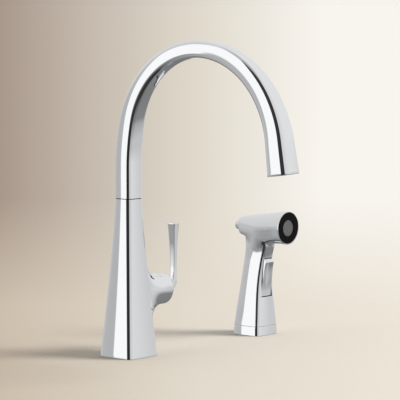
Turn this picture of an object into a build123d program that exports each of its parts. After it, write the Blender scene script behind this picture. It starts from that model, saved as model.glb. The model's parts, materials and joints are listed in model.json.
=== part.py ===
from build123d import *
from math import cos, copysign, pi, radians, sin
import os

# Kitchen faucet with a separate side spray, in millimetres.
# Origin: centre of the faucet's base at deck level. +Z up, the spout and nozzle point to -Y,
# and the valve stub with its lever points to +X, towards the side spray.

os.makedirs("parts", exist_ok=True)

# ---------------------------------------------------------------- driving sizes
fit = 0.05  # radial running clearance of a shaft in its bore
slack = 0.3  # gap between curved faces of pieces that only pass each other

# deck and fixings
deck_thickness = 30.0
rubber_washer = 3.0
rubber_washer_radius = 27.0
steel_washer = 1.5
steel_washer_radius = 26.0

# faucet body
base_side = 55.8
neck_side = 28.0
body_height = 205.0
body_taper = 1.3
body_corner = 7.5
body_wall = 2.6
body_bow = 0.02  # how far a side bows out, as a share of its length
floor_thickness = 14.0
neck_depth = 37.0

# shank
shank_radius = 16.5
shank_bore = 13.6
shank_reach = 62.0
nut_height = 12.0
nut_across = 46.0

# valve stub and cartridge, along +X
hub_height = 83.0
stub_radius = 21.3
stub_end = 63.0
socket_radius = 19.9
socket_start = 43.0
ball_radius = 19.6
ball_wall = 2.4
pivot_x = 58.0
notch_start = 46.0
notch_half_angle = 39.0
bonnet_bore = 17.0
bonnet_start = 30.0
cartridge_radius = 12.5
cartridge_start = 23.6
nose_start = 44.0
nose_end = 53.0
nose_radius = 10.0
rotor_radius = 8.0
disc_face = 30.0
pin_radius = 1.5
tail_radius = 2.4
tail_arm = 8.5
stem_width = 6.0

# lever
lever_x = 86.4
lever_top = 84.0  # above the stub's axis
lever_root_height = 2.4  # above the stub's axis
lever_waist_width = 7.7
lever_waist_depth = 5.6
lever_tip_width = 13.2
lever_tip_depth = 10.6

# spout
seam = 0.8
spout_foot = body_height + seam
bend_start = 243.5
rise_radius = 305.0
rise_turn = 11.5
back_radius = 118.8
front_radius = 130.7
front_turn = 81.0
tail_length = 41.2
arch_side = 20.8
outlet_side = 32.2
outlet_flare = 1.45  # power of the widening from the top to the outlet
foot_rounding = 0.23  # corner radius as a share of the side
outlet_rounding = 0.29
spout_wall = 1.8
spout_floor = 6.0
outlet_block = 12.0
aerator_radius = 12.0
spigot_radius = 10.0
spigot_bore = 7.6
bush_radius = 12.0
spigot_depth = 30.0
riser_radius = 6.5
riser_bore = 5.2

# valve core
core_radius = 15.2
core_top = 98.0
core_flange = 18.4
inlet_radius = 5.0
inlet_depth = 12.0
port_circle = 7.7
outlet_thread = 6.6

# side spray
spray_x = 256.0
holder_side = 45.6
holder_height = 12.6
holder_shank_radius = 14.0
holder_bore = 11.2
holder_seat = 8.0  # depth of the shank's seat in the holder
holder_gasket_outer = 19.5
holder_gasket_inner = 17.0
holder_gasket_depth = 1.2
holder_washer_radius = 22.0
holder_nut_across = 39.0
holder_nut_height = 10.0
holder_reach = 54.0
liner_bore = 9.6
grip_foot_side = 44.0
grip_corner = 6.0
grip_wall = 2.4
barrel_wall = 3.5
barrel_z = 150.6
barrel_front = 58.5
barrel_rear = 21.5
core_z = 149.8  # axis of the button and the selector
rim_radius = 22.8
ring_radius = 21.3
ring_depth = 4.4
face_radius = 11.3
button_radius = 6.4
button_proud = 11.0
trigger_low = 54.0
trigger_high = 105.8
trigger_low_half = 11.0
trigger_high_half = 8.4
trigger_gap = 0.4
trigger_foot_gap = 1.0
trigger_pin_y = -15.8
trigger_pin_z = 58.5
plunger_z = 88.0
plunger_radius = 2.2


# ---------------------------------------------------------------- shared shapes
def bowed_section(plane, width, depth, corner):
    """A rounded rectangle whose four sides bow outwards, on the given plane."""
    half_x = width / 2
    half_y = depth / 2
    bow_x = half_y + width * body_bow
    bow_y = half_x + depth * body_bow
    with BuildSketch(plane) as section:
        with BuildLine():
            ThreePointArc((half_x, -half_y), (bow_y, 0), (half_x, half_y))
            ThreePointArc((half_x, half_y), (0, bow_x), (-half_x, half_y))
            ThreePointArc((-half_x, half_y), (-bow_y, 0), (-half_x, -half_y))
            ThreePointArc((-half_x, -half_y), (0, -bow_x), (half_x, -half_y))
        make_face()
        fillet(section.vertices(), radius=corner)
    return section.sketch


def body_side(z):
    """Side of the body's square section at height z: a concave flare from neck to base."""
    return neck_side + (base_side - neck_side) * (1 - z / body_height) ** body_taper


def body_sections(heights, inset):
    """Sections of the body at the heights, drawn in by the inset."""
    return [
        bowed_section(
            Plane.XY.offset(z), body_side(z) - 2 * inset, body_side(z) - 2 * inset, body_corner - inset
        )
        for z in heights
    ]


def hub_plane(x):
    """Plane across the stub's axis at x, with its normal along +X."""
    return Plane(origin=(x, 0, hub_height), x_dir=(0, 1, 0), z_dir=(1, 0, 0))


def disc(plane, radius):
    """A round sketch on the plane."""
    with BuildSketch(plane) as round_face:
        Circle(radius)
    return round_face.sketch


def ring(plane, outer, inner):
    """A flat ring on the plane."""
    with BuildSketch(plane) as ring_face:
        Circle(outer)
        Circle(inner, mode=Mode.SUBTRACT)
    return ring_face.sketch


# ---------------------------------------------------------------- faucet body
# The stub grows out of the body's +X side as a horn of ellipses with a concave underside.
horn_sections = [
    # (x, half width, top height, bottom height)
    (17.0, 14.0, 113.0, 46.0),
    (24.0, 18.6, 106.6, 47.0),
    (30.0, 20.4, 104.9, 51.5),
    (38.0, 21.2, hub_height + stub_radius + 0.1, 56.5),
    (49.0, stub_radius, hub_height + stub_radius, 60.6),
    (stub_end, stub_radius, hub_height + stub_radius, hub_height - stub_radius),
]


def horn_ellipse(x, half_width, top, bottom):
    """One section of the horn, centred between its top and bottom heights."""
    with BuildSketch(Plane(origin=(x, 0, (top + bottom) / 2), x_dir=(0, 1, 0), z_dir=(1, 0, 0))) as section:
        Ellipse(half_width, (top - bottom) / 2)
    return section.sketch


gasket_outer = 23.0
gasket_inner = 20.0
gasket_depth = 1.5

with BuildPart() as body_shell:
    loft(sections=body_sections([0, 40, 80, 120, 160, body_height], 0))
    loft(sections=[horn_ellipse(*row) for row in horn_sections])
    # hollow between the floor and the neck
    cavity_top = body_height - neck_depth
    loft(
        sections=body_sections([floor_thickness, 60, 110, cavity_top], body_wall),
        mode=Mode.SUBTRACT,
    )
    # neck bore for the spout's bush, and the floor's bore for the shank
    extrude(disc(Plane.XY.offset(cavity_top - 1), bush_radius), amount=neck_depth + 2, mode=Mode.SUBTRACT)
    extrude(disc(Plane.XY.offset(-1), shank_radius + fit), amount=floor_thickness + 2, mode=Mode.SUBTRACT)
    extrude(ring(Plane.XY, gasket_outer, gasket_inner), amount=gasket_depth, mode=Mode.SUBTRACT)
    # stepped bore of the stub: core boss, bonnet thread, socket for the lever's ball
    extrude(disc(hub_plane(12), 13.8), amount=bonnet_start - 12, mode=Mode.SUBTRACT)
    extrude(
        disc(hub_plane(bonnet_start), bonnet_bore), amount=socket_start - bonnet_start, mode=Mode.SUBTRACT
    )
    extrude(
        disc(hub_plane(socket_start), socket_radius), amount=stub_end - socket_start + 1, mode=Mode.SUBTRACT
    )
    # notch over the ball, so that the lever can tilt
    with BuildSketch(hub_plane(notch_start)) as notch:
        notch_side = 2 * stub_radius * sin(radians(notch_half_angle))
        notch_top = 2 * stub_radius * cos(radians(notch_half_angle))
        with BuildLine():
            Polyline((0, 0), (notch_side, notch_top), (-notch_side, notch_top), close=True)
        make_face()
    extrude(amount=stub_end - notch_start + 1, mode=Mode.SUBTRACT)
body_shell.part.label = "body_shell"
export_step(body_shell.part, "parts/body_shell.step")

with BuildPart() as base_gasket:
    extrude(ring(Plane.XY, gasket_outer - fit, gasket_inner + fit), amount=gasket_depth)
base_gasket.part.label = "base_gasket"
export_step(base_gasket.part, "parts/base_gasket.step")

# ---------------------------------------------------------------- below the deck
with BuildPart() as mounting_shank:
    extrude(
        ring(Plane.XY.offset(-shank_reach), shank_radius, shank_bore), amount=shank_reach + floor_thickness
    )
mounting_shank.part.label = "mounting_shank"
export_step(mounting_shank.part, "parts/mounting_shank.step")

steel_top = -deck_thickness - rubber_washer
with BuildPart() as rubber_deck_washer:
    extrude(
        ring(Plane.XY.offset(steel_top), rubber_washer_radius, shank_radius + slack), amount=rubber_washer
    )
rubber_deck_washer.part.label = "rubber_deck_washer"
export_step(rubber_deck_washer.part, "parts/rubber_deck_washer.step")

with BuildPart() as steel_deck_washer:
    extrude(
        ring(Plane.XY.offset(steel_top - steel_washer), steel_washer_radius, shank_radius + slack),
        amount=steel_washer,
    )
steel_deck_washer.part.label = "steel_deck_washer"
export_step(steel_deck_washer.part, "parts/steel_deck_washer.step")

nut_top = steel_top - steel_washer
with BuildPart() as mounting_nut:
    with BuildSketch(Plane.XY.offset(nut_top - nut_height)):
        RegularPolygon(nut_across / 2, 6, major_radius=False)
        Circle(shank_radius + fit, mode=Mode.SUBTRACT)
    extrude(amount=nut_height)
    chamfer(mounting_nut.faces().sort_by(Axis.Z)[0].outer_wire().edges(), 1.2)
mounting_nut.part.label = "mounting_nut"
export_step(mounting_nut.part, "parts/mounting_nut.step")

# ---------------------------------------------------------------- valve core
diverter_bore = 5.6
diverter_low = 72.0
riser_seat = 88.0
with BuildPart() as valve_core:
    extrude(disc(Plane.XY.offset(floor_thickness), core_flange), amount=4)
    extrude(disc(Plane.XY.offset(floor_thickness), core_radius), amount=core_top - floor_thickness)
    # boss that carries the cartridge, along the stub
    extrude(disc(hub_plane(0), 13.4), amount=cartridge_start - 0.1)
    # water inlets and the outlet to the hand spray open downwards through the shank
    with BuildSketch(Plane.XY.offset(floor_thickness)):
        with PolarLocations(port_circle, 3, start_angle=90):
            Circle(inlet_radius)
    extrude(amount=inlet_depth, mode=Mode.SUBTRACT)
    # riser seat with the diverter's bore under it
    extrude(
        disc(Plane.XY.offset(riser_seat), riser_radius + fit),
        amount=core_top - riser_seat + 1,
        mode=Mode.SUBTRACT,
    )
    extrude(
        disc(Plane.XY.offset(diverter_low), diverter_bore),
        amount=riser_seat - diverter_low + 1,
        mode=Mode.SUBTRACT,
    )
valve_core.part.label = "valve_core"
export_step(valve_core.part, "parts/valve_core.step")

# The third port carries the nipple for the spray hose. It ends below the shank.
outlet_x = port_circle * cos(radians(330))
outlet_y = port_circle * sin(radians(330))
with BuildPart() as spray_outlet:
    outlet_low = -shank_reach - 16
    outlet_neck = 4.6
    with BuildSketch(Plane(origin=(outlet_x, outlet_y, floor_thickness + inlet_depth - 0.5))):
        Circle(outlet_neck)
    extrude(amount=-(floor_thickness + inlet_depth + shank_reach + 2))
    with BuildSketch(Plane(origin=(outlet_x, outlet_y, outlet_low))):
        Circle(outlet_thread)
    extrude(amount=14)
    with BuildSketch(Plane(origin=(outlet_x, outlet_y, outlet_low - 1))):
        Circle(3.2)
    extrude(amount=floor_thickness + inlet_depth - outlet_low + 2, mode=Mode.SUBTRACT)
spray_outlet.part.label = "spray_outlet"
export_step(spray_outlet.part, "parts/spray_outlet.step")

diverter_travel = 4.0
piston_length = 8.0
spring_low = diverter_low + piston_length
with BuildPart() as diverter_piston:
    extrude(disc(Plane.XY.offset(diverter_low), diverter_bore - fit), amount=piston_length)
    extrude(disc(Plane.XY.offset(spring_low), 2.0), amount=3)
diverter_piston.part.label = "diverter_piston"
export_step(diverter_piston.part, "parts/diverter_piston.step")

with BuildPart() as diverter_spring:
    extrude(ring(Plane.XY.offset(spring_low), 4.6, 3.4), amount=riser_seat - spring_low)
diverter_spring.part.label = "diverter_spring"
export_step(diverter_spring.part, "parts/diverter_spring.step")

spigot_low = body_height - spigot_depth
riser_overlap = 12.0
with BuildPart() as riser_tube:
    extrude(ring(Plane.XY.offset(riser_seat), riser_radius, riser_bore - 1.4), amount=2)
    extrude(
        ring(Plane.XY.offset(riser_seat), riser_radius, riser_bore),
        amount=spigot_low + riser_overlap - riser_seat,
    )
riser_tube.part.label = "riser_tube"
export_step(riser_tube.part, "parts/riser_tube.step")

# ---------------------------------------------------------------- cartridge
shoulder = nose_start - 1.2
with BuildPart() as cartridge_housing:
    extrude(disc(hub_plane(cartridge_start), cartridge_radius), amount=nose_start - cartridge_start)
    extrude(disc(hub_plane(nose_start), nose_radius), amount=nose_end - nose_start)
    extrude(disc(hub_plane(bonnet_start), 15.5), amount=3)
    extrude(disc(hub_plane(26), 10.5), amount=shoulder - 26, mode=Mode.SUBTRACT)
    extrude(
        disc(hub_plane(shoulder), rotor_radius + fit), amount=nose_end - shoulder + 1, mode=Mode.SUBTRACT
    )
    with BuildSketch(hub_plane(cartridge_start)):
        with PolarLocations(5.5, 3, start_angle=90):
            Circle(2.6)
    extrude(amount=3, mode=Mode.SUBTRACT)
cartridge_housing.part.label = "cartridge_housing"
export_step(cartridge_housing.part, "parts/cartridge_housing.step")

with BuildPart() as fixed_disc:
    extrude(disc(hub_plane(26), 10.3), amount=disc_face - 26)
    with BuildSketch(hub_plane(26)):
        with PolarLocations(5.5, 3, start_angle=90):
            Circle(2.4)
    extrude(amount=disc_face - 26, mode=Mode.SUBTRACT)
fixed_disc.part.label = "fixed_disc"
export_step(fixed_disc.part, "parts/fixed_disc.step")

tail_x = pivot_x - tail_arm
tongue_end = tail_x + 2.2
with BuildPart() as moving_disc:
    extrude(disc(hub_plane(disc_face), 6.8), amount=4)
    with BuildSketch(hub_plane(disc_face + 4)):
        Rectangle(stem_width, 8)
    extrude(amount=tongue_end - disc_face - 4)
    # fork that takes the stem's tail
    with BuildSketch(hub_plane(tail_x - 2.8)):
        Rectangle(stem_width + 1, 2 * (tail_radius + 0.2))
    extrude(amount=6, mode=Mode.SUBTRACT)
moving_disc.part.label = "moving_disc"
export_step(moving_disc.part, "parts/moving_disc.step")

pin_plane = Plane(origin=(pivot_x, 0, hub_height), x_dir=(1, 0, 0), z_dir=(0, 1, 0))
rotor_end = pivot_x + 2.6
collar_start = shoulder - 3.4
with BuildPart() as cartridge_rotor:
    extrude(disc(hub_plane(collar_start), 10.2), amount=shoulder - fit - collar_start)
    extrude(disc(hub_plane(shoulder - fit), rotor_radius), amount=rotor_end - shoulder + fit)
    # slot for the stem and the disc's tongue
    with BuildSketch(hub_plane(collar_start - 1)):
        Rectangle(stem_width + slack, 15.6)
    extrude(amount=shoulder - collar_start + 1, mode=Mode.SUBTRACT)
    with BuildSketch(hub_plane(shoulder)):
        Rectangle(stem_width + slack, 3 * rotor_radius)
    extrude(amount=rotor_end - shoulder + 1, mode=Mode.SUBTRACT)
    extrude(disc(pin_plane, pin_radius), amount=2 * rotor_radius, both=True, mode=Mode.SUBTRACT)
cartridge_rotor.part.label = "cartridge_rotor"
export_step(cartridge_rotor.part, "parts/cartridge_rotor.step")

pin_half = rotor_radius - 0.7
with BuildPart() as stem_pin:
    extrude(disc(pin_plane, pin_radius), amount=pin_half, both=True)
stem_pin.part.label = "stem_pin"
export_step(stem_pin.part, "parts/stem_pin.step")

with BuildPart() as bonnet_nut:
    extrude(ring(hub_plane(bonnet_start + 3), bonnet_bore - fit, cartridge_radius + slack), amount=6)
    with BuildSketch(hub_plane(bonnet_start + 9)):
        RegularPolygon(15.6, 6, major_radius=False)
        Circle(cartridge_radius + slack, mode=Mode.SUBTRACT)
    extrude(amount=2.5, mode=Mode.ADD)
    extrude(ring(hub_plane(bonnet_start + 9), 30, bonnet_bore - fit), amount=3, mode=Mode.SUBTRACT)
bonnet_nut.part.label = "bonnet_nut"
export_step(bonnet_nut.part, "parts/bonnet_nut.step")

# ---------------------------------------------------------------- lever
socket_low = 66.6
stem_end = 73.0
side_plane = Plane(origin=(0, -stem_width / 2, hub_height), x_dir=(1, 0, 0), z_dir=(0, -1, 0))
with BuildPart() as lever_stem:
    # tail disc, thin neck, eye round the pivot pin and square drive, seen from the front
    with BuildSketch(side_plane):
        with Locations((tail_x, 0)):
            Circle(tail_radius)
        with Locations(((tail_x + pivot_x) / 2, 0)):
            Rectangle(tail_arm, 2.6)
        with Locations((pivot_x, 0)):
            Circle(3.4)
        with Locations(((pivot_x + stem_end) / 2, 0)):
            Rectangle(stem_end - pivot_x, stem_width)
        with Locations((pivot_x, 0)):
            Circle(pin_radius + fit, mode=Mode.SUBTRACT)
    extrude(amount=-stem_width)
lever_stem.part.label = "lever_stem"
export_step(lever_stem.part, "parts/lever_stem.step")


# Side view of the lever's centre line: x is along the stub, y is above the stub's axis.
lever_root_x = pivot_x + 12.5
lever_bend = 7.9
with BuildLine() as lever_line:
    lever_root = Line((lever_root_x, lever_root_height), (lever_x - lever_bend, lever_root_height))
    lever_elbow = JernArc(start=lever_root @ 1, tangent=lever_root % 1, radius=lever_bend, arc_size=90)
    Line(lever_elbow @ 1, (lever_x, lever_top))

# Lever section: (share of the line, width, depth)
lever_rows = [
    (0.0, 12.5, 12.6),
    (0.08, 11.2, 11.4),
    (0.16, 9.2, 8.4),
    (0.24, 8.0, 6.4),
    (0.40, lever_waist_width, lever_waist_depth),
    (0.70, 9.7, 6.8),
    (0.92, 11.9, 9.6),
    (1.0, lever_tip_width, lever_tip_depth),
]


def between(rows, at):
    """Values of the rows at a key, taken in straight lines between the rows."""
    for low, high in zip(rows, rows[1:]):
        if at <= high[0]:
            share = (at - low[0]) / (high[0] - low[0])
            return [a + (b - a) * share for a, b in zip(low[1:], high[1:])]
    return rows[-1][1:]


def lever_section(share):
    """Section of the lever at a share of its line."""
    at = lever_line.wire() @ share
    along = lever_line.wire() % share
    width, depth = between(lever_rows, share)
    plane = Plane(origin=(at.X, 0, hub_height + at.Y), x_dir=(0, 1, 0), z_dir=(along.X, 0, along.Y))
    with BuildSketch(plane) as section:
        RectangleRounded(width, depth, 0.08 * (width + depth))
    return section.sketch


with BuildPart() as lever_handle:
    # hollow ball, turned about the stub's axis
    with BuildSketch(Plane(origin=(pivot_x, 0, hub_height), x_dir=(1, 0, 0), z_dir=(0, -1, 0))):
        with BuildLine():
            CenterArc((0, 0), ball_radius, 0, 160)
            CenterArc((0, 0), ball_radius - ball_wall, 0, 160)
            Line((ball_radius - ball_wall, 0), (ball_radius, 0))
            Line(
                PolarLine((0, 0), ball_radius - ball_wall, 160, mode=Mode.PRIVATE) @ 1,
                PolarLine((0, 0), ball_radius, 160, mode=Mode.PRIVATE) @ 1,
            )
        make_face()
    revolve(axis=Axis((pivot_x, 0, hub_height), (1, 0, 0)))
    # oblique mouth: high over the notch, cut back below so that it clears the stub when it tilts
    mouth_turn = 20.5
    split(
        bisect_by=Plane(
            origin=(pivot_x - 6.0, 0, hub_height),
            z_dir=(cos(radians(mouth_turn)), 0, sin(radians(mouth_turn))),
        ),
        keep=Keep.TOP,
    )
    # boss round the stem's square end
    extrude(disc(hub_plane(socket_low), 6.4), amount=pivot_x + ball_radius - 1.5 - socket_low)
    loft(sections=[lever_section(i / 20) for i in range(21)])
    with BuildSketch(hub_plane(socket_low - 1)):
        Rectangle(stem_width + 2 * fit, stem_width + 2 * fit)
    extrude(amount=stem_end + 0.1 - socket_low + 1, mode=Mode.SUBTRACT)
    # hole for the grub screw, from below
    with BuildSketch(Plane.XY.offset(hub_height - ball_radius - 1)):
        with Locations((socket_low + 3, 0)):
            Circle(2.0 + fit)
    extrude(amount=ball_radius, mode=Mode.SUBTRACT)
lever_handle.part.label = "lever_handle"
export_step(lever_handle.part, "parts/lever_handle.step")

with BuildPart() as grub_screw:
    screw_low = hub_height - 13.5
    with BuildSketch(Plane.XY.offset(screw_low)):
        with Locations((socket_low + 3, 0)):
            Circle(2.0)
    extrude(amount=hub_height - stem_width / 2 - screw_low)
    with BuildSketch(Plane.XY.offset(screw_low)):
        with Locations((socket_low + 3, 0)):
            RegularPolygon(1.0, 6, major_radius=False)
    extrude(amount=2.5, mode=Mode.SUBTRACT)
grub_screw.part.label = "grub_screw"
export_step(grub_screw.part, "parts/grub_screw.step")

# ---------------------------------------------------------------- spout
# Side view of the spout's centre line: x is the reach forwards, y is the height.
with BuildLine() as spout_line:
    foot = Line((0, spout_foot), (0, bend_start))
    rise = JernArc(start=foot @ 1, tangent=foot % 1, radius=rise_radius, arc_size=-rise_turn)
    back = JernArc(start=rise @ 1, tangent=rise % 1, radius=back_radius, arc_size=-(90 - rise_turn))
    front = JernArc(start=back @ 1, tangent=back % 1, radius=front_radius, arc_size=-front_turn)
    tail = Line(front @ 1, (front @ 1) + (front % 1) * tail_length)
arch_length = foot.length + rise.length + back.length
spout_length = arch_length + front.length + tail_length


def spout_side(distance):
    """Side of the spout's square section: narrowest at the top, flared at the outlet."""
    if distance < arch_length:
        return arch_side + (neck_side - arch_side) * (1 + cos(pi * distance / arch_length)) / 2
    share = (distance - arch_length) / (spout_length - arch_length)
    return arch_side + (outlet_side - arch_side) * share**outlet_flare


def spout_corner(distance):
    """Corner radius of the spout's section, rounder towards the outlet."""
    rounding = foot_rounding + (outlet_rounding - foot_rounding) * distance / spout_length
    return rounding * spout_side(distance)


def spout_plane(distance):
    """Plane across the spout at a distance along its centre line."""
    spine = spout_line.wire()
    at = spine.position_at(distance, position_mode=PositionMode.LENGTH)
    along = spine.tangent_at(distance, position_mode=PositionMode.LENGTH)
    return Plane(origin=(0, -at.X, at.Y), x_dir=(1, 0, 0), z_dir=(0, -along.X, along.Y))


def spout_sections(start, end, count, inset):
    """Evenly spaced sections of the spout between two distances, drawn in by the inset."""
    step = (end - start) / (count - 1)
    return [
        bowed_section(
            spout_plane(start + i * step),
            spout_side(start + i * step) - 2 * inset,
            spout_side(start + i * step) - 2 * inset,
            spout_corner(start + i * step) - inset,
        )
        for i in range(count)
    ]


with BuildPart() as spout:
    loft(sections=spout_sections(0, spout_length, 14, 0))
    loft(
        sections=spout_sections(spout_floor, spout_length - outlet_block, 13, spout_wall),
        mode=Mode.SUBTRACT,
    )
    extrude(disc(spout_plane(0), spigot_radius), amount=spout_floor + 1, mode=Mode.SUBTRACT)
    extrude(
        disc(spout_plane(spout_length), aerator_radius + fit), amount=-outlet_block - 1, mode=Mode.SUBTRACT
    )
spout.part.label = "spout"
export_step(spout.part, "parts/spout.step")

groove_depth = 1.6
o_ring_heights = [spigot_low + 6, spigot_low + 13]
clip_height = spigot_low - 2.5
with BuildPart() as spout_spigot:
    extrude(
        ring(Plane.XY.offset(clip_height - 2.5), spigot_radius, spigot_bore),
        amount=spout_foot + spout_floor + 6 - clip_height + 2.5,
    )
    for height in o_ring_heights:
        extrude(
            ring(Plane.XY.offset(height), spigot_radius + 1, spigot_radius - groove_depth),
            amount=2.4,
            mode=Mode.SUBTRACT,
        )
    extrude(
        ring(Plane.XY.offset(clip_height), spigot_radius + 1, spigot_radius - 1.2),
        amount=1.4,
        mode=Mode.SUBTRACT,
    )
spout_spigot.part.label = "spout_spigot"
export_step(spout_spigot.part, "parts/spout_spigot.step")

with BuildPart() as spigot_o_rings:
    for height in o_ring_heights:
        with BuildSketch(Plane.XZ):
            with Locations((spigot_radius - 0.8, height + 1.2)):
                Circle(0.75)
        revolve(axis=Axis.Z)
spigot_o_rings.part.label = "spigot_o_rings"
export_step(spigot_o_rings.part, "parts/spigot_o_rings.step")

with BuildPart() as swivel_bush:
    extrude(ring(Plane.XY.offset(spigot_low), bush_radius - 0.02, spigot_radius + fit), amount=spigot_depth)
swivel_bush.part.label = "swivel_bush"
export_step(swivel_bush.part, "parts/swivel_bush.step")

with BuildPart() as thrust_washer:
    extrude(ring(Plane.XY.offset(body_height), 13.2, spigot_radius + slack), amount=seam)
thrust_washer.part.label = "thrust_washer"
export_step(thrust_washer.part, "parts/thrust_washer.step")

with BuildPart() as spigot_clip:
    with BuildSketch(Plane.XY.offset(clip_height + 0.1)):
        Circle(11.4)
        Circle(spigot_radius - 1.15, mode=Mode.SUBTRACT)
        with Locations((0, 11)):
            Rectangle(9, 12, mode=Mode.SUBTRACT)
    extrude(amount=1.2)
spigot_clip.part.label = "spigot_clip"
export_step(spigot_clip.part, "parts/spigot_clip.step")

# aerator, screwed into the outlet
aerator_recess = 0.8
aerator_length = 9.0
housing_bore = 9.6
with BuildPart() as aerator_housing:
    extrude(
        ring(spout_plane(spout_length - aerator_recess), aerator_radius, housing_bore),
        amount=-aerator_length,
    )
aerator_housing.part.label = "aerator_housing"
export_step(aerator_housing.part, "parts/aerator_housing.step")

with BuildPart() as aerator_insert:
    extrude(disc(spout_plane(spout_length - aerator_recess - 1.4), housing_bore - 0.02), amount=-6)
    with BuildSketch(spout_plane(spout_length - aerator_recess - 1.4)):
        with HexLocations(2.3, 5, 5):
            Circle(0.8)
    extrude(amount=-6, mode=Mode.SUBTRACT)
aerator_insert.part.label = "aerator_insert"
export_step(aerator_insert.part, "parts/aerator_insert.step")

with BuildPart() as aerator_gasket:
    extrude(
        ring(spout_plane(spout_length - aerator_recess - aerator_length), aerator_radius - 0.1, 8.2),
        amount=-1.8,
    )
aerator_gasket.part.label = "aerator_gasket"
export_step(aerator_gasket.part, "parts/aerator_gasket.step")

# ---------------------------------------------------------------- side spray holder
spray_axis = Plane(origin=(spray_x, 0, 0))
with BuildPart() as spray_escutcheon:
    loft(
        sections=[
            bowed_section(spray_axis, holder_side, holder_side, grip_corner + 0.3),
            bowed_section(spray_axis.offset(holder_height), grip_foot_side, grip_foot_side, grip_corner),
        ]
    )
    extrude(disc(spray_axis, holder_bore), amount=holder_height, mode=Mode.SUBTRACT)
    extrude(disc(spray_axis, holder_shank_radius + fit), amount=holder_seat, mode=Mode.SUBTRACT)
    extrude(
        ring(spray_axis, holder_gasket_outer, holder_gasket_inner),
        amount=holder_gasket_depth,
        mode=Mode.SUBTRACT,
    )
    chamfer(spray_escutcheon.faces().sort_by(Axis.Z)[-1].outer_wire().edges(), 0.35)
spray_escutcheon.part.label = "spray_escutcheon"
export_step(spray_escutcheon.part, "parts/spray_escutcheon.step")

with BuildPart() as holder_gasket:
    extrude(
        ring(spray_axis, holder_gasket_outer - fit, holder_gasket_inner + fit), amount=holder_gasket_depth
    )
holder_gasket.part.label = "holder_gasket"
export_step(holder_gasket.part, "parts/holder_gasket.step")

with BuildPart() as holder_shank:
    extrude(
        ring(spray_axis.offset(-holder_reach), holder_shank_radius, holder_bore),
        amount=holder_reach + holder_seat,
    )
holder_shank.part.label = "holder_shank"
export_step(holder_shank.part, "parts/holder_shank.step")

with BuildPart() as holder_liner:
    liner_low = -14.0
    extrude(
        ring(spray_axis.offset(liner_low), holder_bore - 0.02, liner_bore),
        amount=holder_height - 0.4 - liner_low,
    )
holder_liner.part.label = "holder_liner"
export_step(holder_liner.part, "parts/holder_liner.step")

with BuildPart() as holder_washer:
    extrude(
        ring(spray_axis.offset(steel_top), holder_washer_radius, holder_shank_radius + slack),
        amount=rubber_washer,
    )
holder_washer.part.label = "holder_washer"
export_step(holder_washer.part, "parts/holder_washer.step")

with BuildPart() as holder_nut:
    with BuildSketch(spray_axis.offset(steel_top - holder_nut_height)):
        RegularPolygon(holder_nut_across / 2, 6, major_radius=False)
        Circle(holder_shank_radius + fit, mode=Mode.SUBTRACT)
    extrude(amount=holder_nut_height)
    chamfer(holder_nut.faces().sort_by(Axis.Z)[0].outer_wire().edges(), 1.0)
holder_nut.part.label = "holder_nut"
export_step(holder_nut.part, "parts/holder_nut.step")


# ---------------------------------------------------------------- handset
def barrel_plane(y, z=barrel_z):
    """Plane across the barrel at y, with its normal along -Y."""
    return Plane(origin=(spray_x, y, z), x_dir=(1, 0, 0), z_dir=(0, -1, 0))


def trigger_axis(x):
    """Plane across the trigger's pin at x from the handset's axis."""
    return Plane(origin=(spray_x + x, trigger_pin_y, trigger_pin_z), x_dir=(0, 1, 0), z_dir=(1, 0, 0))


trigger_pin_half = 14.6

# Grip sections at even steps: (height, half width, front, back) about the handset's axis.
grip_low = holder_height + 0.4
grip_step = 14.0
grip_rows = [
    (grip_low, grip_foot_side / 2, grip_foot_side / 2, grip_foot_side / 2),
    (grip_low + grip_step, 20.3, 21.1, 20.3),
    (grip_low + 2 * grip_step, 18.7, 20.1, 18.7),
    (grip_low + 3 * grip_step, 17.1, 19.3, 17.1),
    (grip_low + 4 * grip_step, 15.5, 19.0, 15.5),
    (grip_low + 5 * grip_step, 14.0, 19.5, 14.0),
    (grip_low + 6 * grip_step, 12.5, 20.8, 12.5),
    (grip_low + 7 * grip_step, 11.1, 22.9, 11.0),
    (grip_low + 8 * grip_step, 10.6, 27.4, 10.8),
    (grip_low + 9 * grip_step, 11.2, 34.0, 16.0),
]


def grip_sections(rows, inset):
    """Sections of the grip, drawn in by the inset."""
    return [
        bowed_section(
            Plane(origin=(spray_x, (back - front) / 2, z)),
            2 * (half - inset),
            front + back - 2 * inset,
            grip_corner - inset - (z - grip_low) * 0.01,
        )
        for z, half, front, back in rows
    ]


def oval(plane, radius, power):
    """A closed curve round the plane's origin: a circle at power 2, squarer above it."""
    points = []
    for i in range(24):
        turn = 2 * pi * i / 24
        x = copysign(abs(cos(turn)) ** (2 / power), cos(turn))
        y = copysign(abs(sin(turn)) ** (2 / power), sin(turn))
        points.append((radius * x, radius * y))
    with BuildSketch(plane) as section:
        with BuildLine():
            Spline(points, periodic=True)
        make_face()
    return section.sketch


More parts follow.
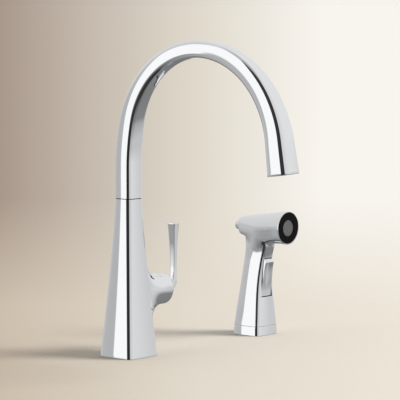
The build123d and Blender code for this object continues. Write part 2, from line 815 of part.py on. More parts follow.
# The barrel is round at its front rim and turns squarer towards the rear.
barrel_rows = [
    # (y, centre height, radius, power)
    (-barrel_front, barrel_z, rim_radius, 2.0),
    (-46.0, 150.1, 21.7, 2.0),
    (-16.0, 147.2, 20.1, 2.15),
    (6.0, 148.6, 15.8, 2.5),
    (barrel_rear, 149.6, 12.2, 2.9),
]
shell_floor = 17.0
flange_radius = 17.0
front_bore = 20.3
with BuildPart() as spray_body:
    loft(sections=grip_sections(grip_rows, 0))
    # broken lower edge, which shows as a fine dark line on the holder
    loft(
        sections=[
            bowed_section(
                spray_axis.offset(holder_height),
                grip_foot_side - 0.8,
                grip_foot_side - 0.8,
                grip_corner - 0.4,
            ),
            bowed_section(spray_axis.offset(grip_low), grip_foot_side, grip_foot_side, grip_corner),
        ]
    )
    loft(sections=[oval(barrel_plane(y, z), radius, power) for y, z, radius, power in barrel_rows])
    # hollow grip and barrel
    loft(
        sections=grip_sections([(shell_floor, 21.5, 21.6, 21.5)] + grip_rows[1:], grip_wall),
        mode=Mode.SUBTRACT,
    )
    loft(
        sections=[disc(barrel_plane(y, z), radius - barrel_wall) for y, z, radius, _ in barrel_rows[1:4]]
        + [disc(barrel_plane(barrel_rear - 3, core_z), 9.4)],
        mode=Mode.SUBTRACT,
    )
    extrude(disc(barrel_plane(-barrel_front), ring_radius + fit), amount=-ring_depth, mode=Mode.SUBTRACT)
    extrude(disc(barrel_plane(-barrel_front), front_bore - 0.4), amount=-13, mode=Mode.SUBTRACT)
    extrude(
        disc(spray_axis.offset(holder_height - 1), flange_radius + fit),
        amount=shell_floor,
        mode=Mode.SUBTRACT,
    )
    # rear bore for the button and blind holes for the trigger's pin
    extrude(disc(barrel_plane(barrel_rear + 1, core_z), button_radius + fit), amount=5, mode=Mode.SUBTRACT)
    extrude(disc(trigger_axis(0), pin_radius), amount=trigger_pin_half, both=True, mode=Mode.SUBTRACT)
    # slot for the trigger
    with BuildSketch(Plane(origin=(spray_x, -8, 0), x_dir=(1, 0, 0), z_dir=(0, -1, 0))) as slot:
        with BuildLine():
            Polyline(
                (-trigger_low_half - trigger_gap, trigger_low - trigger_foot_gap),
                (trigger_low_half + trigger_gap, trigger_low - trigger_foot_gap),
                (trigger_high_half + trigger_gap, trigger_high + 3 * trigger_gap),
                (-trigger_high_half - trigger_gap, trigger_high + 3 * trigger_gap),
                close=True,
            )
        make_face()
    extrude(amount=40, mode=Mode.SUBTRACT)
spray_body.part.label = "spray_body"
export_step(spray_body.part, "parts/spray_body.step")

# ---------------------------------------------------------------- inside the handset
connector_low = -26.0
thread_length = 12.0
hose_bore = 3.2
pipe_radius = 4.0
with BuildPart() as hose_connector:
    extrude(disc(spray_axis.offset(connector_low), outlet_thread), amount=thread_length)
    extrude(
        disc(spray_axis.offset(connector_low + thread_length), liner_bore - slack),
        amount=holder_height - connector_low - thread_length,
    )
    extrude(disc(spray_axis.offset(holder_height), flange_radius), amount=shell_floor - holder_height)
    extrude(disc(spray_axis.offset(shell_floor), 6.4), amount=6)
    extrude(disc(spray_axis.offset(connector_low), hose_bore), amount=60, mode=Mode.SUBTRACT)
    extrude(disc(spray_axis.offset(shell_floor), pipe_radius + fit), amount=7, mode=Mode.SUBTRACT)
hose_connector.part.label = "hose_connector"
export_step(hose_connector.part, "parts/hose_connector.step")

# Pipe up the grip, with the trigger's valve chamber across it.
chamber_front = -6.0
chamber_rear = 8.0
selector_radius = 8.4
selector_bore = 6.5
with BuildPart() as spray_waterway:
    extrude(
        disc(spray_axis.offset(shell_floor), pipe_radius),
        amount=core_z - selector_radius + 1.2 - shell_floor,
    )
    extrude(disc(barrel_plane(chamber_rear, plunger_z), 6.2), amount=chamber_rear - chamber_front)
    extrude(disc(spray_axis.offset(shell_floor), 2.8), amount=140, mode=Mode.SUBTRACT)
    extrude(
        disc(barrel_plane(chamber_rear - 1.2, plunger_z), plunger_radius + fit),
        amount=chamber_rear - 1.2 - chamber_front + 1,
        mode=Mode.SUBTRACT,
    )
spray_waterway.part.label = "spray_waterway"
export_step(spray_waterway.part, "parts/spray_waterway.step")

selector_front = -51.0
selector_rear = 6.0
spool_wall = -8.0
with BuildPart() as selector_body:
    extrude(
        disc(barrel_plane(selector_rear, core_z), selector_radius), amount=selector_rear - selector_front
    )
    extrude(disc(barrel_plane(spool_wall, core_z), selector_bore), amount=60, mode=Mode.SUBTRACT)
    extrude(disc(barrel_plane(selector_rear + 1, core_z), 2.5 + fit), amount=30, mode=Mode.SUBTRACT)
    extrude(
        disc(spray_axis.offset(core_z - selector_radius - 1), pipe_radius + fit),
        amount=3.2,
        mode=Mode.SUBTRACT,
    )
selector_body.part.label = "selector_body"
export_step(selector_body.part, "parts/selector_body.step")

nozzle_depth = 12.5
face_recess = 1.0
with BuildPart() as nozzle_body:
    extrude(disc(barrel_plane(-barrel_front), ring_radius), amount=-ring_depth)
    extrude(disc(barrel_plane(-barrel_front), front_bore - 0.45), amount=-nozzle_depth)
    fillet(nozzle_body.faces().sort_by(Axis.Y)[0].edges(), 0.8)
    extrude(disc(barrel_plane(-barrel_front), face_radius), amount=-3.2, mode=Mode.SUBTRACT)
    extrude(disc(barrel_plane(-barrel_front), selector_bore), amount=-nozzle_depth, mode=Mode.SUBTRACT)
    extrude(
        disc(barrel_plane(selector_front, core_z), selector_radius + fit),
        amount=selector_front + barrel_front - nozzle_depth,
        mode=Mode.SUBTRACT,
    )
nozzle_body.part.label = "nozzle_body"
export_step(nozzle_body.part, "parts/nozzle_body.step")

with BuildPart() as spray_face:
    extrude(disc(barrel_plane(-barrel_front + face_recess), face_radius - 0.02), amount=-2.2)
    with BuildSketch(barrel_plane(-barrel_front + face_recess)):
        with HexLocations(2.1, 5, 5):
            Circle(0.7)
    extrude(amount=-2.2, mode=Mode.SUBTRACT)
spray_face.part.label = "spray_face"
export_step(spray_face.part, "parts/spray_face.step")

button_flange = 2.2
button_front = barrel_rear - 3.2
with BuildPart() as mode_button:
    extrude(disc(barrel_plane(button_front, core_z), button_radius + 1.2), amount=button_flange)
    extrude(
        disc(barrel_plane(barrel_rear + button_proud, core_z), button_radius),
        amount=barrel_rear + button_proud - button_front,
    )
    fillet(mode_button.faces().sort_by(Axis.Y)[-1].edges(), 1.2)
    extrude(disc(barrel_plane(barrel_rear + 2, core_z), 2.5 + fit), amount=10, mode=Mode.SUBTRACT)
mode_button.part.label = "mode_button"
export_step(mode_button.part, "parts/mode_button.step")

with BuildPart() as selector_spool:
    extrude(disc(barrel_plane(barrel_rear + 2, core_z), 2.5), amount=barrel_rear + 20)
    extrude(disc(barrel_plane(spool_wall - 10, core_z), selector_bore - fit), amount=8)
selector_spool.part.label = "selector_spool"
export_step(selector_spool.part, "parts/selector_spool.step")

with BuildPart() as selector_spring:
    extrude(
        ring(barrel_plane(button_front - button_flange, core_z), 4.6, 3.4),
        amount=button_front - button_flange - selector_rear,
    )
selector_spring.part.label = "selector_spring"
export_step(selector_spring.part, "parts/selector_spring.step")

# ---------------------------------------------------------------- trigger
scoop_radius = 11.0
scoop_rows = [
    # (height, front face, depth of the finger scoop)
    (66.0, -19.8, 0.1),
    (77.5, -21.4, 0.6),
    (89.0, -23.1, 1.2),
    (100.5, -25.55, 1.8),
]
side_view = Plane(origin=(spray_x - 12, 0, 0), x_dir=(0, 1, 0), z_dir=(1, 0, 0))
with BuildPart() as trigger:
    # side view of the trigger, then trimmed to the taper seen from the front
    with BuildSketch(side_view):
        with BuildLine():
            Spline((-18.9, trigger_low), (-20.0, 68), (-21.7, 79), (-23.3, 90), (-25.7, 101))
            Polyline(
                (-25.7, 101),
                (-25.0, 102.6),
                (-21.8, trigger_high),
                (-13.2, trigger_high),
                (-12.8, trigger_low),
                (-18.9, trigger_low),
            )
        make_face()
    extrude(amount=24)
    with BuildSketch(Plane(origin=(spray_x, 0, 0), x_dir=(1, 0, 0), z_dir=(0, -1, 0))):
        with BuildLine():
            Polyline(
                (-trigger_low_half, trigger_low),
                (trigger_low_half, trigger_low),
                (trigger_high_half, trigger_high),
                (-trigger_high_half, trigger_high),
                close=True,
            )
        make_face()
    extrude(amount=40, mode=Mode.INTERSECT)
    # finger scoop, deepest under the ledge
    loft(
        sections=[
            disc(Plane(origin=(spray_x, face - scoop_radius + depth, z)), scoop_radius)
            for z, face, depth in scoop_rows
        ],
        mode=Mode.SUBTRACT,
    )
    # pocket behind the front wall, for the plunger and its spring
    with BuildSketch(side_view.offset(12 - 6.2)):
        Polygon(
            (-9, 63),
            (-17.4, 63),
            (-19.2, 80),
            (-20.2, 90),
            (-21.4, 98),
            (-20.4, 102.6),
            (-9, 102.6),
            align=None,
        )
    extrude(amount=12.4, mode=Mode.SUBTRACT)
    extrude(disc(trigger_axis(0), pin_radius + fit), amount=trigger_low_half, both=True, mode=Mode.SUBTRACT)
trigger.part.label = "trigger"
export_step(trigger.part, "parts/trigger.step")

with BuildPart() as trigger_pin:
    extrude(disc(trigger_axis(0), pin_radius), amount=trigger_pin_half, both=True)
trigger_pin.part.label = "trigger_pin"
export_step(trigger_pin.part, "parts/trigger_pin.step")

plunger_front = -19.7
spring_front = -16.0
with BuildPart() as plunger:
    extrude(disc(barrel_plane(3, plunger_z), plunger_radius), amount=3 - plunger_front)
    extrude(disc(barrel_plane(spring_front, plunger_z), 4.0), amount=1.2)
plunger.part.label = "plunger"
export_step(plunger.part, "parts/plunger.step")

with BuildPart() as trigger_spring:
    extrude(ring(barrel_plane(chamber_front, plunger_z), 3.9, 2.8), amount=chamber_front - spring_front)
trigger_spring.part.label = "trigger_spring"
export_step(trigger_spring.part, "parts/trigger_spring.step")
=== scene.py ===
import json
from math import atan2, cos, pi, radians, sin, sqrt, tan

import bpy
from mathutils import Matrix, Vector


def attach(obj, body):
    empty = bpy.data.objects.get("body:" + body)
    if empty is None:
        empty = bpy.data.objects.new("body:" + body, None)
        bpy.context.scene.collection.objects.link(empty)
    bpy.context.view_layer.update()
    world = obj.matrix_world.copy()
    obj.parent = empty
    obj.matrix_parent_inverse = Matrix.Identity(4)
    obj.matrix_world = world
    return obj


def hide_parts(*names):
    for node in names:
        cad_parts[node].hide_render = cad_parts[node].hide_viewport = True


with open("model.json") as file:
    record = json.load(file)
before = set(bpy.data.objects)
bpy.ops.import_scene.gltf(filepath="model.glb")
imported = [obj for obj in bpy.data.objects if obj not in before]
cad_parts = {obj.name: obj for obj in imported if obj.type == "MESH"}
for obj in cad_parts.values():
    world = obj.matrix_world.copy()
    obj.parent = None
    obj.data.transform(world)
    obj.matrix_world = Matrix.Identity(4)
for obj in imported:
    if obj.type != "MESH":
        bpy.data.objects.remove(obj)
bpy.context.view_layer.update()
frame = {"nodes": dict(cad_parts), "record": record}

MM = 0.001
# Steps to either side of a point over which a surface's tangents are taken, in mm and radians
NEAR = 0.05
NEAR_TURN = 0.002

# ---------------------------------------------------------------- sizes in mm and degrees, as in the solids
BASE_SIDE = 55.8
NECK_SIDE = 28.0
BODY_HEIGHT = 205.0
BODY_TAPER = 1.3
BODY_CORNER = 7.5
BODY_BORE = 16.6
BODY_BORE_END = 14.0
NECK_BORE = 12.0
NECK_BORE_END = 175.0
BOW = 0.02
SEAM = 0.8
SPOUT_FOOT = BODY_HEIGHT + SEAM
SEAL_BORE = 10.3

HUB_Z = 83.0
STUB_RADIUS = 21.3
STUB_END = 63.0
SOCKET_RADIUS = 19.9
SOCKET_FLOOR = 43.0
SOCKET_BORE = 17.0
SOCKET_BORE_END = 32.0
NOTCH_START = 46.0
NOTCH_HALF = 39.0
PIVOT_X = 58.0
BALL_RADIUS = 19.6
BALL_WALL = 2.4
MOUTH_X = 6.0
MOUTH_TILT = 20.5

LEVER_X = 86.4
LEVER_TOP = 84.0
LEVER_ROOT_X = 70.5
LEVER_ROOT_Z = 2.4
LEVER_BEND = 7.9

BEND_START = 243.5
RISE_RADIUS = 305.0
RISE_TURN = 11.5
BACK_RADIUS = 118.8
FRONT_RADIUS = 130.7
FRONT_TURN = 81.0
TAIL_LENGTH = 41.2
ARCH_SIDE = 20.8
OUTLET_SIDE = 32.2
OUTLET_FLARE = 1.45
FOOT_ROUNDING = 0.23
OUTLET_ROUNDING = 0.29
OUTLET_BORE = 12.1
OUTLET_DEPTH = 12.0
SPOUT_FOOT_BORE = 10.0

SPRAY_X = 256.0
HOLDER_HEIGHT = 12.6
HOLDER_BORE = 11.2
HOLDER_BORE_END = 8.0
HOLDER_FOOT_BORE = 14.1
FOOT_SIDE = 44.0
FOOT_BORE = 17.0
GRIP_CORNER = 6.0
BARREL_FRONT = -58.5
BARREL_REAR = 21.5
CORE_Z = 149.8
RIM_Z = 150.6
RIM_RADIUS = 22.8
RING_DEPTH = 4.4
BUTTON_RADIUS = 6.4
BUTTON_BORE = 2.6
BUTTON_PLAY = 0.1
BUTTON_TIP = 32.5
SLOT_LOW = 53.0
SLOT_HIGH = 107.0
SLOT_LOW_HALF = 11.4
SLOT_HIGH_HALF = 8.8
GRIP_WALL = 2.4

# ---------------------------------------------------------------- sizes of the dressed shapes alone, in mm
EDGE = 0.5
FINE_EDGE = 0.15
SEAL_INSET = 0.8
HOLDER_SIDE = 44.85
HOLDER_BOW = 0.028
GRIP_BOW = 0.04
BARREL_ROUND = 1.6
BUTTON_ROUND = 1.2


# ---------------------------------------------------------------- mesh helpers
def shade_smooth(mesh, sharp_angle):
    """Smooth shading, with edges sharper than the angle kept."""
    for polygon in mesh.polygons:
        polygon.use_smooth = True
    mesh.set_sharp_from_angle(angle=radians(sharp_angle))


def new_object(name, points, faces, sharp_angle):
    """A mesh object from points in millimetres."""
    mesh = bpy.data.meshes.new(name)
    mesh.from_pydata([Vector(p) * MM for p in points], [], faces)
    mesh.validate()
    mesh.update()
    shade_smooth(mesh, sharp_angle)
    obj = bpy.data.objects.new(name, mesh)
    bpy.context.scene.collection.objects.link(obj)
    return obj


class Builder:
    """Collects rings of points and the faces between them."""

    def __init__(self):
        self.points = []
        self.faces = []

    def ring(self, points):
        """Adds points; gives their numbers."""
        start = len(self.points)
        self.points.extend(points)
        return list(range(start, start + len(points)))

    def join(self, low, high):
        """Faces between two closed rings."""
        for i, point in enumerate(low):
            j = (i + 1) % len(low)
            self.faces.append((point, low[j], high[j], high[i]))

    def loft(self, rings):
        """Adds rings and the faces between each and the next; gives the numbers of their points."""
        made = [self.ring(r) for r in rings]
        for low, high in zip(made, made[1:]):
            self.join(low, high)
        return made

    def cap(self, ring, centre):
        """Closes a ring with a fan to its centre."""
        middle = len(self.points)
        self.points.append(centre)
        for i, point in enumerate(ring):
            self.faces.append((point, ring[(i + 1) % len(ring)], middle))

    def build(self, name, sharp_angle=35.0):
        return new_object(name, self.points, self.faces, sharp_angle)


def evenly(first, last, steps):
    """Values from the first to the last in equal steps, both included."""
    return [first + (last - first) * i / steps for i in range(steps + 1)]


def whole_turn(count):
    """Equally spaced angles all round."""
    return [2 * pi * i / count for i in range(count)]


def between(rows, at):
    """Values of the rows at a key, taken smoothly between the rows."""
    if at <= rows[0][0]:
        return list(rows[0][1:])
    for k in range(len(rows) - 1):
        low, high = rows[k], rows[k + 1]
        if at <= high[0]:
            before = rows[max(k - 1, 0)]
            after = rows[min(k + 2, len(rows) - 1)]
            span = high[0] - low[0]
            share = (at - low[0]) / span
            values = []
            for c in range(1, len(low)):
                start_slope = (high[c] - before[c]) / max(high[0] - before[0], 1e-9) * span
                end_slope = (after[c] - low[c]) / max(after[0] - low[0], 1e-9) * span
                s2 = share * share
                s3 = s2 * share
                values.append(
                    (2 * s3 - 3 * s2 + 1) * low[c]
                    + (s3 - 2 * s2 + share) * start_slope
                    + (3 * s2 - 2 * s3) * high[c]
                    + (s3 - s2) * end_slope
                )
            return values
    return list(rows[-1][1:])


def arc(x, y, radius, first, last, steps):
    """Points of an arc from its first angle up to, but without, its last."""
    return [(x + radius * cos(a), y + radius * sin(a)) for a in evenly(first, last, steps)[:-1]]


def section_parts(width, depth, corner, bow=BOW):
    """Arc centres, radii and the fillet centre of a bowed rounded rectangle."""
    half_w, half_d = width / 2, depth / 2
    sag_d, sag_w = depth * bow, width * bow
    radius_d = (half_d**2 + sag_d**2) / (2 * sag_d)
    radius_w = (half_w**2 + sag_w**2) / (2 * sag_w)
    centre_x = half_w + sag_d - radius_d
    centre_y = half_d + sag_w - radius_w
    cx, cy = half_w - corner, half_d - corner
    for _ in range(30):
        f = sqrt((cx - centre_x) ** 2 + cy**2) - (radius_d - corner)
        g = sqrt(cx**2 + (cy - centre_y) ** 2) - (radius_w - corner)
        cx -= f
        cy -= g
    return radius_d, radius_w, centre_x, centre_y, cx, cy


def section(width, depth, corner, bow=BOW, sides=14, bends=10):
    """Points of a bowed rounded rectangle, counter-clockwise from the middle of the +x side."""
    radius_d, radius_w, centre_x, centre_y, cx, cy = section_parts(width, depth, corner, bow)
    turn_d = atan2(cy, cx - centre_x)
    turn_w = atan2(cx, cy - centre_y)
    quarter = arc(centre_x, 0.0, radius_d, 0.0, turn_d, sides)
    quarter += arc(cx, cy, corner, turn_d, pi / 2 - turn_w, bends)
    quarter += arc(0.0, centre_y, radius_w, pi / 2 - turn_w, pi / 2, sides)
    return around(quarter, centre_y + radius_w)


def around(quarter, top):
    """A whole outline from its first quarter, which starts on the +x axis and would end at the top on +y."""
    points = list(quarter) + [(0.0, top)]
    points += [(-x, y) for x, y in reversed(quarter[1:])]
    points.append((-quarter[0][0], 0.0))
    points += [(-x, -y) for x, y in quarter[1:]]
    points.append((0.0, -top))
    points += [(x, -y) for x, y in reversed(quarter[1:])]
    return points


def round_to_circle(points, radius):
    """Points of a circle in the directions of the given ones."""
    made = []
    for x, y in points:
        length = sqrt(x * x + y * y)
        made.append((x / length * radius, y / length * radius))
    return made


def share_of(value, first, last):
    """Zero up to the first value and one from the last."""
    return min(max((value - first) / (last - first), 0.0), 1.0)


def eased(value, first, last):
    """The same, with soft ends."""
    share = share_of(value, first, last)
    return share * share * (3 - 2 * share)


def square_reach(angle, power):
    """Radius of a squared circle in a direction, as a share of its radius along the axes."""
    return (abs(cos(angle)) ** power + abs(sin(angle)) ** power) ** (-1 / power)


def on_z(points, z, x0=0.0):
    return [(x0 + x, y, z) for x, y in points]


def square(side, corner, z, x0=0.0, bow=BOW):
    """A ring of the bowed square at a height."""
    return on_z(section(side, side, corner, bow), z, x0)


def follow(runs, distance):
    """Way ahead, way aside and turn after a distance along runs of (length, radius); radius 0 is straight."""
    ahead, aside, angle = 0.0, 0.0, 0.0
    for length, radius in runs:
        part = min(distance, length)
        if radius:
            turned = angle + part / radius
            ahead += radius * (sin(turned) - sin(angle))
            aside += radius * (cos(angle) - cos(turned))
            angle = turned
        else:
            ahead += part * cos(angle)
            aside += part * sin(angle)
        distance -= part
        if distance <= 0:
            break
    return ahead, aside, angle


def bezier(p0, p1, p2, p3, t):
    s = 1 - t
    return p0 * (s * s * s) + p1 * (3 * s * s * t) + p2 * (3 * s * t * t) + p3 * (t * t * t)


def along_surface(start, across, along, aim):
    """Direction from a surface's point towards the aim, within the plane of the surface's two tangents."""
    towards = aim - start
    normal = across.cross(along).normalized()
    return (towards - normal * towards.dot(normal)).normalized()


# ---------------------------------------------------------------- node helpers
class Tree:
    """Adds nodes to the tree of a material or world. A source is a socket, a number or a colour."""

    def __init__(self, owner):
        owner.use_nodes = True
        self.nodes = owner.node_tree.nodes
        self.links = owner.node_tree.links

    def feed(self, socket, source):
        if isinstance(source, bpy.types.NodeSocket):
            self.links.new(source, socket)
        elif isinstance(source, tuple):
            socket.default_value = (*source, 1.0)
        else:
            socket.default_value = source

    def add(self, kind, sources, **settings):
        """The outputs of a new node with these settings and sources of its inputs."""
        node = self.nodes.new("ShaderNode" + kind)
        for name, value in settings.items():
            setattr(node, name, value)
        for name, source in sources.items():
            self.feed(node.inputs[name], source)
        return node.outputs

    def surface(self, sources):
        """Feeds the shader of a material."""
        inputs = self.nodes["Principled BSDF"].inputs
        for name, source in sources.items():
            self.feed(inputs[name], source)

    def math(self, operation, *sources):
        return self.add("Math", dict(enumerate(sources)), operation=operation)[0]

    def clamped(self, source, first, last, low=0.0, high=1.0):
        """The low value up to the first place, and the high one from the last."""
        sources = {"Value": source, "From Min": first, "From Max": last, "To Min": low, "To Max": high}
        return self.add("MapRange", sources)["Result"]

    def blend(self, factor, low, high):
        """Mixes two colours."""
        return self.add("Mix", {"Factor": factor, "A": low, "B": high}, data_type="RGBA")["Result"]

    def ramp(self, factor, stops):
        """Colour at a factor, from stops of (position, colour)."""
        colours = self.add("ValToRGB", {"Fac": factor})["Color"]
        elements = colours.node.color_ramp.elements
        elements.remove(elements[-1])
        elements[0].position = stops[0][0]
        elements[0].color = (*stops[0][1], 1)
        for position, colour in stops[1:]:
            elements.new(position).color = (*colour, 1)
        return colours

    def place(self, kind):
        return self.add("TexCoord", {})[kind]

    def noise(self, place, scale, detail):
        return self.add("TexNoise", {"Vector": place, "Scale": scale, "Detail": detail})["Fac"]

    def heading(self, direction):
        """Angle of a direction round the vertical, from +X, and its height."""
        parts = self.add("SeparateXYZ", {"Vector": direction})
        return self.math("ARCTAN2", parts["Y"], parts["X"]), parts["Z"]


# ---------------------------------------------------------------- materials
def material(name, base, metallic, roughness, spread, scale, tint, bump=0.0, shine=0.5):
    """A procedural finish: roughness and colour vary with noise, some of them over a fine bump."""
    finish = bpy.data.materials.new(name)
    tree = Tree(finish)
    tree.surface({"Base Color": base, "Roughness": roughness})
    tree.surface({"Metallic": metallic, "Specular IOR Level": shine})
    place = tree.place("Object")
    noise = tree.noise(place, scale, 6.0)
    darker = tuple(c * (1 - tint) for c in base)
    lighter = tuple(min(c * (1 + tint), 1.0) for c in base)
    varied = tree.clamped(noise, 0.3, 0.7, max(roughness - spread, 0.0), roughness + spread)
    tree.surface({"Base Color": tree.blend(noise, darker, lighter), "Roughness": varied})
    if bump:
        relief = {"Strength": bump, "Distance": 0.0002, "Height": tree.noise(place, 400.0, 4.0)}
        tree.surface({"Normal": tree.add("Bump", relief)["Normal"]})
    return finish


chrome = material("chrome", (0.865, 0.875, 0.89), 1.0, 0.022, spread=0.008, scale=35.0, tint=0.008)
brass = material("brass", (0.72, 0.52, 0.24), 1.0, 0.28, spread=0.08, scale=120.0, bump=0.2, tint=0.06)
steel = material("steel", (0.55, 0.55, 0.57), 1.0, 0.3, spread=0.08, scale=160.0, bump=0.2, tint=0.04)
rubber = material("rubber", (0.022, 0.022, 0.022), 0.0, 0.75, spread=0.1, scale=200.0, bump=0.5, tint=0.2)
black = (0.003, 0.003, 0.0035)
black_plastic = material(
    "black_plastic", black, 0.0, 0.5, spread=0.05, scale=220.0, bump=0.25, tint=0.2, shine=0.07
)
grey_plastic = material(
    "grey_plastic", (0.105, 0.105, 0.11), 0.0, 0.42, spread=0.06, scale=260.0, bump=0.5, tint=0.15
)
white_plastic = material(
    "white_plastic", (0.78, 0.78, 0.76), 0.0, 0.45, spread=0.06, scale=140.0, bump=0.2, tint=0.03
)
ceramic = material("ceramic", (0.84, 0.84, 0.82), 0.0, 0.2, spread=0.04, scale=180.0, bump=0.1, tint=0.02)
finishes = {
    "chrome": chrome,
    "chrome_plated_plastic": chrome,
    "brass": brass,
    "steel": steel,
    "rubber": rubber,
    "black_plastic": black_plastic,
    "grey_plastic": grey_plastic,
    "white_plastic": white_plastic,
    "disc_ceramic": ceramic,
}
slot_of = {row["node"]: row["material_slot"] for row in frame["record"]["subparts"]}


def dress(obj, finish):
    """Gives an object one finish."""
    obj.data.materials.clear()
    obj.data.materials.append(finish)


for node, obj in frame["nodes"].items():
    dress(obj, finishes[slot_of[node]])
    shade_smooth(obj.data, 30)
    # What reaches below the deck stays out of the chrome's reflections.
    if min(corner[2] for corner in obj.bound_box) < -MM:
        obj.visible_glossy = False


def piece(obj, body, slot, *replaced):
    """Gives a modelled piece the finish of its slot, hangs it from its body and hides the nodes that it
    stands for.
    """
    dress(obj, finishes[slot])
    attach(obj, body)
    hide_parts(*replaced)


# ---------------------------------------------------------------- faucet body with its valve stub
def body_side(z):
    return NECK_SIDE + (BASE_SIDE - NECK_SIDE) * (1 - z / BODY_HEIGHT) ** BODY_TAPER


def body_point(distance, z):
    """A point of the body at a distance along its outline from the middle of the +X face, at height z."""
    side = body_side(z)
    radius, _, centre, _, corner_centre, _ = section_parts(side, side, BODY_CORNER)
    turn = atan2(corner_centre, corner_centre - centre)
    flat = radius * turn
    bend = BODY_CORNER * (pi / 2 - 2 * turn)
    sign = 1.0 if distance >= 0 else -1.0
    along = abs(distance)
    if along <= flat:
        x = centre + radius * cos(along / radius)
        y = radius * sin(along / radius)
    elif along <= flat + bend:
        a = turn + (along - flat) / BODY_CORNER
        x = corner_centre + BODY_CORNER * cos(a)
        y = corner_centre + BODY_CORNER * sin(a)
    else:
        a = turn - (along - flat - bend) / radius
        x = radius * sin(a)
        y = centre + radius * cos(a)
    return Vector((x, sign * y, z))


def body_frame(distance, z):
    """The body's point and the two tangents there."""
    here = body_point(distance, z)
    across = (body_point(distance + NEAR, z) - body_point(distance - NEAR, z)).normalized()
    up = (body_point(distance, z + NEAR) - body_point(distance, z - NEAR)).normalized()
    return here, across, up


shell = Builder()
foot_side = body_side(0)
body_rings = [
    square(foot_side - 2 * EDGE, BODY_CORNER - EDGE, 0.0),
    square(foot_side - 0.3 * EDGE, BODY_CORNER, 0.3 * EDGE),
]
BODY_STEPS = 56
for z in evenly(EDGE, BODY_HEIGHT - 0.1, BODY_STEPS):
    body_rings.append(square(body_side(z), BODY_CORNER, z))
body_rings.append(square(NECK_SIDE - 0.2, BODY_CORNER - 0.1, BODY_HEIGHT - 0.02))
body_rings.append(square(NECK_SIDE - 0.5, BODY_CORNER - 0.2, BODY_HEIGHT))
neck_bore = round_to_circle(section(NECK_SIDE, NECK_SIDE, BODY_CORNER), NECK_BORE)
body_rings += [on_z(neck_bore, z) for z in (BODY_HEIGHT, NECK_BORE_END)]
body_made = shell.loft(body_rings)
body_bore = round_to_circle(section(foot_side, foot_side, BODY_CORNER), BODY_BORE)
bore_low = shell.ring(on_z(body_bore, 0.0))
bore_high = shell.ring(on_z(body_bore, BODY_BORE_END))
shell.join(bore_low, body_made[0])
shell.join(bore_high, bore_low)

# The stub flows out of the body: for each direction round its axis a curve leaves the stub along -X
# and lands on the body along the body's own surface.
AROUND = 160
ALONG = 44
LANDING_HALF = 24.6
LANDING_RISE = 42.0
LANDING_DROP = 54.0
LANDING_POWER = 3.2
GUIDE_X = 29.0
GUIDE_POWER = 1.5
# Each at the top, the side and the underside: where the curves start, and the pull of their two ends
BLEND_START = (45.5, 44.0, 56.0)
STUB_PULL = (13.0, 17.0, 13.0)
BODY_PULL = (0.56, 0.52, 0.5)
# How far the blend stops before the notch, and how far the surface then turns in
NOTCH_GAP = 0.25
TURN_IN = 0.7


def by_rise(rise, top, side, low):
    """A value between the blend's top, side and underside; rise is the sine of the direction."""
    return side + ((top if rise > 0 else low) - side) * rise * rise


def stub_point(x, radius, phi):
    """A point round the stub's axis; phi is measured from +Y."""
    return Vector((x, radius * cos(phi), HUB_Z + radius * sin(phi)))


def stub_ring(x, radius):
    return [stub_point(x, radius, phi) for phi in whole_turn(AROUND)]


columns = []
for phi in whole_turn(AROUND):
    rise = sin(phi)
    start = stub_point(by_rise(rise, *BLEND_START), STUB_RADIUS, phi)
    reach = square_reach(phi, LANDING_POWER)
    height = HUB_Z + (LANDING_RISE if rise > 0 else LANDING_DROP) * reach * rise
    end, across, up = body_frame(LANDING_HALF * reach * cos(phi), height)
    guide = stub_point(end.x + (GUIDE_X - end.x) * (1 - abs(rise)) ** GUIDE_POWER, STUB_RADIUS, phi)
    pull = by_rise(rise, *BODY_PULL) * (guide - end).length
    p1 = start - Vector((by_rise(rise, *STUB_PULL), 0, 0))
    p2 = end + along_surface(end, across, up, guide) * pull
    columns.append([bezier(start, p1, p2, end, t) for t in evenly(1, 0, ALONG)])
stub_rings = list(zip(*columns))

# Where the curves start beyond the notch's end, the surface turns back inside the socket's wall.
turned = []
for phi, column in zip(whole_turn(AROUND), columns):
    beyond = max(column[-1].x - NOTCH_START + NOTCH_GAP, 0.0)
    x = NOTCH_START - NOTCH_GAP + beyond - min(beyond, 0.2)
    turned.append(stub_point(x, STUB_RADIUS - min(beyond, TURN_IN), phi))
stub_rings += [turned, stub_ring(NOTCH_START, STUB_RADIUS - TURN_IN)]
stub_rings += [stub_ring(x, SOCKET_RADIUS) for x in (NOTCH_START, SOCKET_FLOOR)]
stub_rings += [stub_ring(x, SOCKET_BORE) for x in (SOCKET_FLOOR, SOCKET_BORE_END)]
shell.loft(stub_rings)

# The socket's wall beyond the notch's end, open over the ball.
WALL_STEPS = 110
WALL_START = NOTCH_START - 0.3
wall_profile = [
    (WALL_START, STUB_RADIUS),
    (STUB_END - 0.5, STUB_RADIUS),
    (STUB_END - 0.15, STUB_RADIUS - 0.12),
    (STUB_END, STUB_RADIUS - 0.45),
    (STUB_END, SOCKET_RADIUS + 0.3),
    (STUB_END - 0.12, SOCKET_RADIUS + 0.08),
    (STUB_END - 0.4, SOCKET_RADIUS),
    (WALL_START, SOCKET_RADIUS),
]
wall_turns = evenly(radians(90 + NOTCH_HALF), radians(450 - NOTCH_HALF), WALL_STEPS)
wall_made = shell.loft([[stub_point(x, radius, phi) for x, radius in wall_profile] for phi in wall_turns])
shell.faces.append(tuple(wall_made[0]))
shell.faces.append(tuple(reversed(wall_made[-1])))
piece(shell.build("body_skin"), "fixed_body", "chrome", "body_shell")

